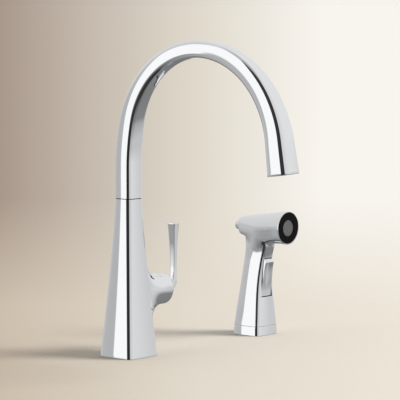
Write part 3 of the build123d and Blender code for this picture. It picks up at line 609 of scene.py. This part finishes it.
# ---------------------------------------------------------------- washer in the seam
# It is set back all round from the body's outline.
seal = Builder()
seal_side = NECK_SIDE - 2 * SEAL_INSET
seal_outline = section(seal_side, seal_side, BODY_CORNER - SEAL_INSET)
seal_bore = round_to_circle(seal_outline, SEAL_BORE)
seal_low = [on_z(points, BODY_HEIGHT) for points in (seal_bore, seal_outline)]
seal_high = [on_z(points, SPOUT_FOOT) for points in (seal_outline, seal_bore)]
seal_made = seal.loft(seal_low + seal_high)
seal.join(seal_made[-1], seal_made[0])
piece(seal.build("washer_skin"), "fixed_body", "black_plastic", "thrust_washer")

# ---------------------------------------------------------------- spout
SPOUT_RUNS = [
    (BEND_START - SPOUT_FOOT, 0.0),
    (RISE_RADIUS * radians(RISE_TURN), RISE_RADIUS),
    (BACK_RADIUS * radians(90 - RISE_TURN), BACK_RADIUS),
    (FRONT_RADIUS * radians(FRONT_TURN), FRONT_RADIUS),
    (TAIL_LENGTH, 0.0),
]
ARCH_LENGTH = sum(length for length, _ in SPOUT_RUNS[:3])
SPOUT_LENGTH = sum(length for length, _ in SPOUT_RUNS)
SPOUT_STEPS = 180


def spout_side(distance):
    if distance < ARCH_LENGTH:
        return ARCH_SIDE + (NECK_SIDE - ARCH_SIDE) * (1 + cos(pi * distance / ARCH_LENGTH)) / 2
    share = (distance - ARCH_LENGTH) / (SPOUT_LENGTH - ARCH_LENGTH)
    return ARCH_SIDE + (OUTLET_SIDE - ARCH_SIDE) * share**OUTLET_FLARE


def spout_section(distance, shrink=0.0):
    """The spout's section at a distance, drawn in by the shrink all round."""
    side = spout_side(distance)
    corner = (FOOT_ROUNDING + (OUTLET_ROUNDING - FOOT_ROUNDING) * distance / SPOUT_LENGTH) * side
    return section(side - 2 * shrink, side - 2 * shrink, corner - shrink)


def on_spout(points, distance):
    """Puts section points, x across and y towards the inside of the arch, on the spout's line."""
    ahead, aside, angle = follow(SPOUT_RUNS, distance)
    return [(u, -aside + v * cos(angle), SPOUT_FOOT + ahead + v * sin(angle)) for u, v in points]


tube = Builder()
spout_rings = [
    on_spout(round_to_circle(spout_section(0.0), SPOUT_FOOT_BORE), 0.0),
    on_spout(spout_section(0.0, 0.25), 0.0),
    on_spout(spout_section(0.02, 0.1), 0.02),
    on_spout(spout_section(0.1), 0.1),
]
for distance in evenly(0.4, SPOUT_LENGTH - 0.6, SPOUT_STEPS):
    spout_rings.append(on_spout(spout_section(distance), distance))
spout_rings.append(on_spout(spout_section(SPOUT_LENGTH, FINE_EDGE), SPOUT_LENGTH - FINE_EDGE))
spout_rings.append(on_spout(spout_section(SPOUT_LENGTH, EDGE), SPOUT_LENGTH))
outlet_outline = spout_section(SPOUT_LENGTH)
for radius, depth in ((OUTLET_BORE + EDGE, 0.0), (OUTLET_BORE, EDGE), (OUTLET_BORE, OUTLET_DEPTH)):
    spout_rings.append(on_spout(round_to_circle(outlet_outline, radius), SPOUT_LENGTH - depth))
tube.loft(spout_rings)
piece(tube.build("spout_skin"), "spout_assembly", "chrome", "spout")

# ---------------------------------------------------------------- lever
LEVER_RUNS = [
    (LEVER_X - LEVER_BEND - LEVER_ROOT_X, 0.0),
    (LEVER_BEND * pi / 2, LEVER_BEND),
    (LEVER_TOP - LEVER_ROOT_Z - LEVER_BEND, 0.0),
]
LEVER_LENGTH = sum(length for length, _ in LEVER_RUNS)
LEVER_CORNER = 0.08
# (share of the length, width, depth)
LEVER_ROWS = [
    (0.0, 12.5, 12.6),
    (0.08, 11.2, 11.4),
    (0.16, 9.2, 8.4),
    (0.24, 8.0, 6.4),
    (0.40, 7.7, 5.6),
    (0.70, 9.7, 6.8),
    (0.92, 11.9, 9.6),
    (1.0, 13.2, 10.6),
]


def rounded(width, depth, corner, sides=6, bends=5):
    """Rounded rectangle, counter-clockwise from the middle of the +x side."""
    a, b = width / 2, depth / 2
    quarter = [(a, y) for y in evenly(0.0, b - corner, sides)[:-1]]
    quarter += arc(a - corner, b - corner, corner, 0.0, pi / 2, bends)
    quarter += [(x, b) for x in evenly(a - corner, 0.0, sides)[:-1]]
    return around(quarter, b)


def on_lever(points, distance):
    """Puts section points, x along +Y and y towards the inside of the bend, on the lever's line."""
    ahead, aside, angle = follow(LEVER_RUNS, distance)
    x, z = LEVER_ROOT_X + ahead, HUB_Z + LEVER_ROOT_Z + aside
    return [(x - v * sin(angle), u, z + v * cos(angle)) for u, v in points]


def lever_ring(distance, shrink=0.0, back=0.0):
    """The lever's section at a distance from its root, drawn in by the shrink and set back."""
    width, depth = between(LEVER_ROWS, distance / LEVER_LENGTH)
    corner = max(LEVER_CORNER * (width + depth) - shrink, 0.3)
    return on_lever(rounded(width - 2 * shrink, depth - 2 * shrink, corner), distance - back)


def ball_point(radius, alpha, phi):
    """A point of the ball; alpha is measured from +X, phi round it from +Y."""
    return stub_point(PIVOT_X + radius * cos(alpha), radius * sin(alpha), phi)


def mouth_angle(radius, phi):
    """Angle from +X at which the ball meets its oblique mouth, for a direction round the axis."""
    low, high = radians(60), radians(170)
    for _ in range(40):
        middle = (low + high) / 2
        x = radius * cos(middle)
        z = radius * sin(middle) * sin(phi)
        if x + MOUTH_X + z * tan(radians(MOUTH_TILT)) > 0:
            low = middle
        else:
            high = middle
    return low


# The lever flows into its ball between this distance along it and this angle of the ball.
ROOT_BLEND = 5.6
BALL_BLEND = radians(46)
BALL_PULL = 0.42
ROOT_PULL = 0.3
BLEND_STEPS = 14
INNER_START = radians(24)
BALL_STEPS = 44
BLADE_STEPS = 70
root_points = [Vector(p) for p in lever_ring(ROOT_BLEND)]
root_behind = [Vector(p) for p in lever_ring(ROOT_BLEND - 0.5)]
phis = [atan2(p.z - HUB_Z - LEVER_ROOT_Z, p.y) for p in root_points]


def ball_rings(radius, start, shares):
    """Rings of the ball, each at a share of the way from an angle to the mouth."""
    mouth = [mouth_angle(radius, phi) for phi in phis]
    return [
        [ball_point(radius, start + (end - start) * share, phi) for end, phi in zip(mouth, phis)]
        for share in shares
    ]


lever_rings = ball_rings(BALL_RADIUS - BALL_WALL, INNER_START, evenly(0, 1, BALL_STEPS))
lever_rings += ball_rings(BALL_RADIUS, BALL_BLEND, evenly(1, 0, BALL_STEPS))
blends = []
for here, behind, phi in zip(root_points, root_behind, phis):
    on_ball = ball_point(BALL_RADIUS, BALL_BLEND, phi)
    inward = Vector((sin(BALL_BLEND), -cos(BALL_BLEND) * cos(phi), -cos(BALL_BLEND) * sin(phi)))
    reach = (here - on_ball).length
    p1 = on_ball + inward * (BALL_PULL * reach)
    p2 = here + (behind - here).normalized() * (ROOT_PULL * reach)
    blends.append([bezier(on_ball, p1, p2, here, t) for t in evenly(0, 1, BLEND_STEPS)[1:]])
lever_rings += zip(*blends)
lever_rings += [lever_ring(distance) for distance in evenly(ROOT_BLEND, LEVER_LENGTH - EDGE, BLADE_STEPS)[1:]]
lever_rings += [lever_ring(LEVER_LENGTH, FINE_EDGE, FINE_EDGE), lever_ring(LEVER_LENGTH, EDGE)]
handle = Builder()
lever_made = handle.loft(lever_rings)
handle.cap(lever_made[-1], (LEVER_X, 0.0, HUB_Z + LEVER_TOP + 0.05))
piece(handle.build("lever_skin", 50.0), "lever", "chrome", "lever_handle")

# ---------------------------------------------------------------- side spray: escutcheon
HOLDER_STEPS = 8
holder = Builder()
holder_outline = section(HOLDER_SIDE, HOLDER_SIDE, GRIP_CORNER)
holder_bore = round_to_circle(holder_outline, HOLDER_BORE)
holder_rings = [
    on_z(round_to_circle(holder_outline, HOLDER_FOOT_BORE), 0.0, SPRAY_X),
    square(HOLDER_SIDE - 0.8, GRIP_CORNER, 0.0, SPRAY_X, HOLDER_BOW),
]
for z in evenly(0.3, HOLDER_HEIGHT - 0.4, HOLDER_STEPS):
    side = HOLDER_SIDE + (FOOT_SIDE - HOLDER_SIDE) * z / HOLDER_HEIGHT
    holder_rings.append(square(side, GRIP_CORNER + 0.2, z, SPRAY_X, HOLDER_BOW))
for inset, z in ((0.25, HOLDER_HEIGHT - 0.1), (0.7, HOLDER_HEIGHT)):
    holder_rings.append(square(FOOT_SIDE - inset, GRIP_CORNER, z, SPRAY_X, HOLDER_BOW))
holder_rings += [on_z(holder_bore, z, SPRAY_X) for z in (HOLDER_HEIGHT, HOLDER_BORE_END)]
holder.loft(holder_rings)
piece(holder.build("escutcheon_skin"), "fixed_body", "chrome", "spray_escutcheon")

# ---------------------------------------------------------------- side spray: handset
GRIP_LOW = HOLDER_HEIGHT + 0.4
GRIP_STEP = 14.0
# (half width, depth of the front, depth of the back) at each step up the grip
GRIP_SECTIONS = [
    (22.0, 22.0, 22.0),
    (20.3, 21.1, 20.3),
    (18.7, 20.1, 18.7),
    (17.1, 19.3, 17.1),
    (15.5, 19.0, 15.5),
    (14.0, 19.5, 14.0),
    (12.5, 20.8, 12.5),
    (11.1, 22.9, 11.0),
    (10.6, 27.4, 10.8),
    (11.2, 34.0, 16.0),
]
GRIP_ROWS = [(GRIP_LOW + k * GRIP_STEP, *row) for k, row in enumerate(GRIP_SECTIONS)]
# (y, centre height, radius, power): round at the front rim, squarer towards the rear
BARREL_ROWS = [
    (BARREL_FRONT, RIM_Z, RIM_RADIUS, 2.0),
    (-46.0, 150.1, 21.7, 2.0),
    (-16.0, 147.2, 20.1, 2.15),
    (6.0, 148.6, 15.8, 2.5),
    (BARREL_REAR, 149.6, 12.2, 2.9),
]
SLOT_STEPS = 12
SIDE_STEPS = 6
CORNER_STEPS = 10
FLANK_STEPS = 14
LOWER_STEPS = 18
SLOT_RINGS = 26
CORNER_TAPER = 0.01


def slot_half(z):
    return SLOT_LOW_HALF + (SLOT_HIGH_HALF - SLOT_LOW_HALF) * share_of(z, SLOT_LOW, SLOT_HIGH)


def half_outline(half, deep, corner, split, bow):
    """Half of a bowed outline from the middle of its front to the middle of its back, by its +x side.
    The front is divided at the split."""
    radius_d, radius_w, centre_x, centre_y, cx, cy = section_parts(2 * half, 2 * deep, corner, bow)
    turn_d = atan2(cy, cx - centre_x)
    turn_w = atan2(cx, cy - centre_y)
    edge_x = radius_w * sin(turn_w)
    front = evenly(0.0, split, SLOT_STEPS)[:-1] + evenly(split, edge_x, SIDE_STEPS)[:-1]
    points = [(x, -centre_y - sqrt(radius_w * radius_w - x * x)) for x in front]
    points += arc(cx, -cy, corner, turn_w - pi / 2, -turn_d, CORNER_STEPS)
    points += arc(centre_x, 0.0, radius_d, -turn_d, turn_d, FLANK_STEPS)
    points += arc(cx, cy, corner, turn_d, pi / 2 - turn_w, CORNER_STEPS)
    points += arc(0.0, centre_y, radius_w, pi / 2 - turn_w, pi / 2, FLANK_STEPS)
    return points + [(0.0, centre_y + radius_w)]


def grip_ring(z, shrink=0.0):
    half, front, back = between(GRIP_ROWS, z)
    corner = GRIP_CORNER - (z - GRIP_LOW) * CORNER_TAPER - shrink
    bow = HOLDER_BOW + (GRIP_BOW - HOLDER_BOW) * eased(z, GRIP_LOW, GRIP_LOW + 2 * GRIP_STEP)
    right = half_outline(half - shrink, (front + back) / 2 - shrink, corner, slot_half(z), bow)
    left = [(-x, y) for x, y in reversed(right[1:-1])]
    return [(SPRAY_X + x, y + (back - front) / 2, z) for x, y in right + left]


def axis_point(y, theta, radius, centre=CORE_Z, power=2.0):
    """A point round the barrel's axis; theta is measured from straight down, positive towards +X."""
    reach = radius * square_reach(theta, power)
    return Vector((SPRAY_X + reach * sin(theta), y, centre - reach * cos(theta)))


def barrel_point(y, theta):
    centre, radius, power = between(BARREL_ROWS, y)
    return axis_point(y, theta, radius, centre, power)


def barrel_frame(y, theta):
    here = barrel_point(y, theta)
    across = (barrel_point(y, theta + NEAR_TURN) - barrel_point(y, theta - NEAR_TURN)).normalized()
    along = (barrel_point(y + NEAR, theta) - barrel_point(y - NEAR, theta)).normalized()
    return here, across, along


grip = Builder()
foot = grip_ring(GRIP_LOW)
foot_bore = round_to_circle([(x - SPRAY_X, y) for x, y, _ in foot], FOOT_BORE)
grip_rings = [on_z(foot_bore, z, SPRAY_X) for z in (HOLDER_HEIGHT + 0.5, HOLDER_HEIGHT)]
for z, shrink in ((HOLDER_HEIGHT, 1.5), (GRIP_LOW - 0.02, 1.4), (GRIP_LOW, 0.2), (GRIP_LOW + 0.15, 0.02)):
    grip_rings.append([(x, y, z) for x, y, _ in grip_ring(GRIP_LOW, shrink)])
RING_COUNT = len(foot)
grip_rings += [grip_ring(z) for z in evenly(GRIP_LOW + EDGE, SLOT_LOW, LOWER_STEPS)]
slot_first = len(grip_rings) - 1
slot_last = slot_first + SLOT_RINGS

# The grip starts to flare lowest at its sides, higher at its front and highest at its back.
FLARE_START = 101.0
FLARE_START_BACK = 18.0
FLARE_START_FRONT = 6.0
GRIP_SPAN = 22.2
_, blend_front, blend_back = between(GRIP_ROWS, SLOT_HIGH)
blend_middle = (blend_back - blend_front) / 2
directions = []
tops = []
for x, y, _ in grip_ring(SLOT_HIGH):
    psi = atan2((y - blend_middle) / (blend_front + blend_back), (x - SPRAY_X) / GRIP_SPAN)
    rise = sin(psi)
    directions.append(psi)
    if rise > 0:
        tops.append(FLARE_START + FLARE_START_BACK * eased(rise, 0.1, 0.95))
    else:
        tops.append(FLARE_START + FLARE_START_FRONT * eased(-rise, 0.1, 0.85))
ring_cache = {}


def grip_point(z, i):
    key = round(z, 4)
    if key not in ring_cache:
        ring_cache[key] = grip_ring(z)
    return Vector(ring_cache[key][i])


for share in evenly(0, 1, SLOT_RINGS)[1:]:
    grip_rings.append([grip_point(SLOT_LOW + (top - SLOT_LOW) * share, i) for i, top in enumerate(tops)])
made = [grip.ring(r) for r in grip_rings]
for k, (low, high) in enumerate(zip(made, made[1:])):
    for i in range(RING_COUNT):
        if slot_first <= k < slot_last and (i < SLOT_STEPS or i >= RING_COUNT - SLOT_STEPS):
            continue
        j = (i + 1) % RING_COUNT
        grip.faces.append((low[i], low[j], high[j], high[i]))

# Walls of the trigger's slot, as deep as the casting is thick.
slot_loop = [made[k][SLOT_STEPS] for k in range(slot_first, slot_last + 1)]
slot_loop += [made[slot_last][i % RING_COUNT] for i in range(SLOT_STEPS - 1, -SLOT_STEPS - 1, -1)]
slot_loop += [made[k][RING_COUNT - SLOT_STEPS] for k in range(slot_last - 1, slot_first - 1, -1)]
slot_loop += [made[slot_first][i % RING_COUNT] for i in range(-SLOT_STEPS + 1, SLOT_STEPS)]
grip.join(slot_loop, grip.ring([Vector(grip.points[i]) + Vector((0, GRIP_WALL, 0)) for i in slot_loop]))

# Each curve follows the grip up to its own height, then bends outwards and lands on the barrel
# along the barrel's surface.
FLARE_FRONT = -30.5
FLARE_BACK = 15.0
FLARE_ARC = radians(70)
FLARE_AIM_Z = 132.0
GRIP_PULL = 0.5
BARREL_PULL = 0.36
CLIMB = 2.0
CLIMB_FRONT = 11.0
CLIMB_BACK = 7.0
CLIMB_STEPS = 10
FLARE_STEPS = 40
flare_middle = (FLARE_FRONT + FLARE_BACK) / 2
flare_half = (FLARE_BACK - FLARE_FRONT) / 2
flare_columns = []
for i, (psi, top) in enumerate(zip(directions, tops)):
    rise = sin(psi)
    climb = CLIMB + (CLIMB_FRONT if rise < 0 else CLIMB_BACK) * eased(abs(rise), 0.3, 0.95)
    column = [grip_point(z, i) for z in evenly(top, top + climb, CLIMB_STEPS)[1:]]
    start = column[-1]
    upward = (start - grip_point(top + climb - 0.5, i)).normalized()
    end, across, along = barrel_frame(flare_middle + flare_half * rise, FLARE_ARC * cos(psi))
    towards = along_surface(end, across, along, Vector((start.x, start.y, FLARE_AIM_Z)))
    span = (end - start).length
    p1 = start + upward * (GRIP_PULL * span)
    p2 = end + towards * (BARREL_PULL * span)
    column += [bezier(start, p1, p2, end, t) for t in evenly(0, 1, FLARE_STEPS)[1:]]
    flare_columns.append(column)
upper_rings = [grip.ring(ring) for ring in zip(*flare_columns)]
for low, high in zip([made[-1]] + upper_rings, upper_rings):
    grip.join(low, high)

BARREL_COUNT = 112
BARREL_STEPS = 64
REAR_STEPS = 6


def axis_ring(y, radius, centre=CORE_Z, power=2.0, count=BARREL_COUNT):
    return [axis_point(y, theta, radius, centre, power) for theta in whole_turn(count)]


def barrel_ring(y, inset=0.0):
    """A ring of the barrel, drawn in by the inset."""
    centre, radius, power = between(BARREL_ROWS, y)
    return axis_ring(y, radius - inset, centre, power)


barrel_rings = [axis_ring(y, BUTTON_RADIUS + BUTTON_PLAY) for y in (BARREL_REAR - 3.5, BARREL_REAR)]
for a in evenly(0.0, pi / 2, REAR_STEPS):
    barrel_rings.append(barrel_ring(BARREL_REAR - BARREL_ROUND * (1 - cos(a)), BARREL_ROUND * (1 - sin(a))))
for y in evenly(BARREL_REAR - BARREL_ROUND, BARREL_FRONT + 0.9, BARREL_STEPS)[1:]:
    barrel_rings.append(barrel_ring(y))
for step, inset in ((0.4, 0.12), (0.08, 0.45), (0.0, 0.8), (0.15, 1.15), (0.5, 1.4), (RING_DEPTH, 1.45)):
    barrel_rings.append(axis_ring(BARREL_FRONT + step, RIM_RADIUS - inset, RIM_Z))
grip.loft(barrel_rings)
piece(grip.build("handset_skin"), "handset", "chrome_plated_plastic", "spray_body")

# ---------------------------------------------------------------- side spray: rear button
KNOB_COUNT = 72
KNOB_STEPS = 8


def knob_ring(y, radius):
    return axis_ring(y, radius, count=KNOB_COUNT)


knob = Builder()
knob_rings = [knob_ring(BARREL_REAR - 3.2, radius) for radius in (BUTTON_BORE, BUTTON_RADIUS)]
for a in evenly(0.0, pi / 2, KNOB_STEPS):
    y = BUTTON_TIP - FINE_EDGE - BUTTON_ROUND * (1 - sin(a))
    knob_rings.append(knob_ring(y, BUTTON_RADIUS - BUTTON_ROUND * (1 - cos(a))))
knob_rings.append(knob_ring(BUTTON_TIP - 0.03, BUTTON_BORE))
knob_made = knob.loft(knob_rings)
knob.cap(knob_made[-1], (SPRAY_X, BUTTON_TIP, CORE_Z))
piece(knob.build("button_skin"), "mode_button", "chrome_plated_plastic", "mode_button")

# ---------------------------------------------------------------- camera
# Angles in degrees and places in metres, fitted to the photo's edges
AZIMUTH = -48.6
PITCH = 5.18
FOCAL_PIXELS = 2169.82
PHOTO_PIXELS = 400
SENSOR = 36.0
HALF_VIEW = 5.3
CAMERA_PLACE = (-2.0337, -1.9162, 0.4562)

camera_data = bpy.data.cameras.new("camera")
camera = bpy.data.objects.new("camera", camera_data)
camera.location = CAMERA_PLACE
camera.rotation_euler = (radians(90 - PITCH), 0, radians(AZIMUTH))
camera_data.sensor_width = SENSOR
camera_data.lens = FOCAL_PIXELS / PHOTO_PIXELS * SENSOR
camera_data.clip_end = 2000
bpy.context.scene.collection.objects.link(camera)
bpy.context.scene.camera = camera
bpy.context.scene.view_settings.view_transform = "Standard"

# ---------------------------------------------------------------- studio
# The deck's colours from the left to the right of the photo, with painted shade that makes them darker and
# warmer towards the left: far off, also used above the horizon, and near
FAR_COLOURS_WITH_PAINTED_SHADE = [(0.0, (0.32, 0.255, 0.213)), (0.5, (0.608, 0.573, 0.505)), (0.8, (0.768, 0.747, 0.71))]
NEAR_COLOURS_WITH_PAINTED_SHADE = [(0.0, (0.50, 0.43, 0.352)), (0.5, (0.63, 0.587, 0.512)), (1.0, (0.685, 0.645, 0.572))]


def grey(value):
    """A grey as a colour."""
    return (value, value, value)


def across_view(tree, heading):
    """Zero at the left edge of the photo and one at its right edge."""
    return tree.clamped(heading, radians(90 + AZIMUTH + HALF_VIEW), radians(90 + AZIMUTH - HALF_VIEW))


# Studio seen by the chrome: soft boxes left and right of the camera, a dark gap behind it, pale overhead.
world = bpy.data.worlds.new("studio")
bpy.context.scene.world = world
tree = Tree(world)
tree.nodes.clear()
heading, height = tree.heading(tree.place("Generated"))
# In radians from the direction of the camera, counter-clockwise seen from above
camera_heading = atan2(-cos(radians(AZIMUTH)), sin(radians(AZIMUTH)))
turned_heading = tree.math("SUBTRACT", heading, camera_heading)
relative = tree.math("WRAP", turned_heading, pi, -pi)
turn_share = tree.clamped(relative, -pi, pi)

OVERHEAD = 0.50
BOX_LIGHT = 1.08
BACKDROP_GAIN = 1.2
# Each ring: (degrees from the camera, grey)
BOTTOM_RING = [
    (-180, 0.20),
    (-107, 0.36),
    (-80, 0.26),
    (-50, 0.03),
    (20, 0.03),
    (50, 0.12),
    (100, 0.20),
    (145, 0.24),
    (180, 0.20),
]
LOW_RING = [
    (-180, 0.19),
    (-140, 0.30),
    (-107, 0.50),
    (-92, 0.42),
    (-75, 0.30),
    (-50, 0.06),
    (8, 0.03),
    (20, 0.20),
    (100, 0.26),
    (145, 0.22),
    (180, 0.19),
]
UNDER_RING = [
    (-180, 0.20),
    (-140, 0.30),
    (-107, 0.54),
    (-92, 0.44),
    (-84, 0.36),
    (-55, 0.36),
    (-47, 0.04),
    (8, 0.03),
    (16, 0.45),
    (60, 0.58),
    (105, 0.60),
    (130, 0.50),
    (150, 0.36),
    (180, 0.20),
]
MIDDLE_RING = [
    (-180, 0.62),
    (-150, 0.60),
    (-104, 0.58),
    (-88, 0.50),
    (-80, 0.50),
    (-53, 0.50),
    (-49, 0.03),
    (7, 0.02),
    (13, 0.60),
    (50, 0.70),
    (84, 0.80),
    (91, 0.76),
    (100, 0.67),
    (107, 0.64),
    (125, 0.72),
    (150, 0.74),
    (180, 0.62),
]
HIGH_RING = [
    (-180, 0.78),
    (-130, 0.74),
    (-100, 0.70),
    (-86, 0.66),
    (-54, 0.66),
    (-49, 0.05),
    (7, 0.03),
    (14, 0.72),
    (60, 0.78),
    (100, 0.84),
    (150, 0.84),
    (180, 0.78),
]


def ring_light(rows):
    """The studio round the object at one elevation."""
    return tree.ramp(turn_share, [((angle + 180) / 360, grey(value)) for angle, value in rows])


light = tree.blend(tree.clamped(height, -0.8, -0.42), ring_light(BOTTOM_RING), ring_light(LOW_RING))
for first, last, rows in ((-0.38, -0.22, UNDER_RING), (-0.18, -0.10, MIDDLE_RING), (0.0, 0.2, HIGH_RING)):
    light = tree.blend(tree.clamped(height, first, last), light, ring_light(rows))
light = tree.blend(tree.clamped(height, 0.90, 0.99), light, grey(OVERHEAD))
# The brightest box stands to the left of the camera, with soft edges.
box_left = tree.clamped(relative, radians(-84.9), radians(-84.3))
box_right = tree.clamped(relative, radians(-51.0), radians(-52.0))
box_low = tree.clamped(height, -0.175, -0.105)
box_high = tree.clamped(height, 0.86, 0.80)
box_wide = tree.math("MULTIPLY", box_left, box_right)
box_tall = tree.math("MULTIPLY", box_low, box_high)
soft_box = tree.math("MULTIPLY", box_wide, box_tall)
light = tree.blend(soft_box, light, grey(BOX_LIGHT))
# The backdrop seen by camera rays has the same painted shade, darker and warmer towards the left.
backdrop_painted_shade_colours = [(share, tuple(BACKDROP_GAIN * c for c in colour)) for share, colour in FAR_COLOURS_WITH_PAINTED_SHADE]
painted_shade_backdrop = tree.ramp(across_view(tree, heading), backdrop_painted_shade_colours)
studio_shader, backdrop_shader = (
    tree.add("Background", {"Color": colour, "Strength": 1.0})["Background"] for colour in (light, painted_shade_backdrop)
)
seen = tree.add("LightPath", {})["Is Camera Ray"]
choice = tree.add("MixShader", {"Fac": seen, 1: studio_shader, 2: backdrop_shader})["Shader"]
tree.add("OutputWorld", {"Surface": choice})

# ---------------------------------------------------------------- floor
# One pale plane to the horizon, with painted shade that makes it darker and warmer towards the left. Its
# colours go from far to near with the slope at which the camera looks down on it.
FLOOR_REACH = 400.0
FLOOR_GAP = 0.0002
FAR_SLOPE = 0.09
NEAR_SLOPE = 0.14
corners = [(x * FLOOR_REACH, y * FLOOR_REACH, 0) for x, y in ((-1, -1), (1, -1), (1, 1), (-1, 1))]
floor_mesh = bpy.data.meshes.new("floor")
floor_mesh.from_pydata(corners, [], [(0, 1, 2, 3)])
floor = bpy.data.objects.new("floor", floor_mesh)
floor.location = (CAMERA_PLACE[0], CAMERA_PLACE[1], -FLOOR_GAP)
bpy.context.scene.collection.objects.link(floor)
floor_with_painted_shade = bpy.data.materials.new("floor_with_painted_shade")
tree = Tree(floor_with_painted_shade)
place = tree.place("Object")
across = across_view(tree, tree.heading(place)[0])
distance = tree.add("VectorMath", {0: place}, operation="LENGTH")["Value"]
near = tree.clamped(tree.math("DIVIDE", CAMERA_PLACE[2], distance), FAR_SLOPE, NEAR_SLOPE)
# The floor's base colour carries painted shade, darker and warmer towards the left.
colour = tree.blend(near, tree.ramp(across, FAR_COLOURS_WITH_PAINTED_SHADE), tree.ramp(across, NEAR_COLOURS_WITH_PAINTED_SHADE))
grain = tree.clamped(tree.noise(place, 90.0, 5.0), 0.0, 1.0, 0.97, 1.03)
speckled = tree.add("VectorMath", {0: colour, "Scale": grain}, operation="SCALE")["Vector"]
tree.surface({"Base Color": speckled, "Roughness": 0.85, "Specular IOR Level": 0.0})
dress(floor, floor_with_painted_shade)
floor.visible_glossy = False

# ---------------------------------------------------------------- key light
sun_data = bpy.data.lights.new("key", "SUN")
sun_data.energy = 2.9
sun_data.angle = radians(26)
sun_data.color = (1.0, 0.985, 0.96)
sun = bpy.data.objects.new("key", sun_data)
sun.rotation_euler = Vector((-0.60, 0.80, -0.80)).to_track_quat("-Z", "Y").to_euler()
sun.visible_glossy = False
bpy.context.scene.collection.objects.link(sun)

# ---------------------------------------------------------------- update
bpy.context.view_layer.update()
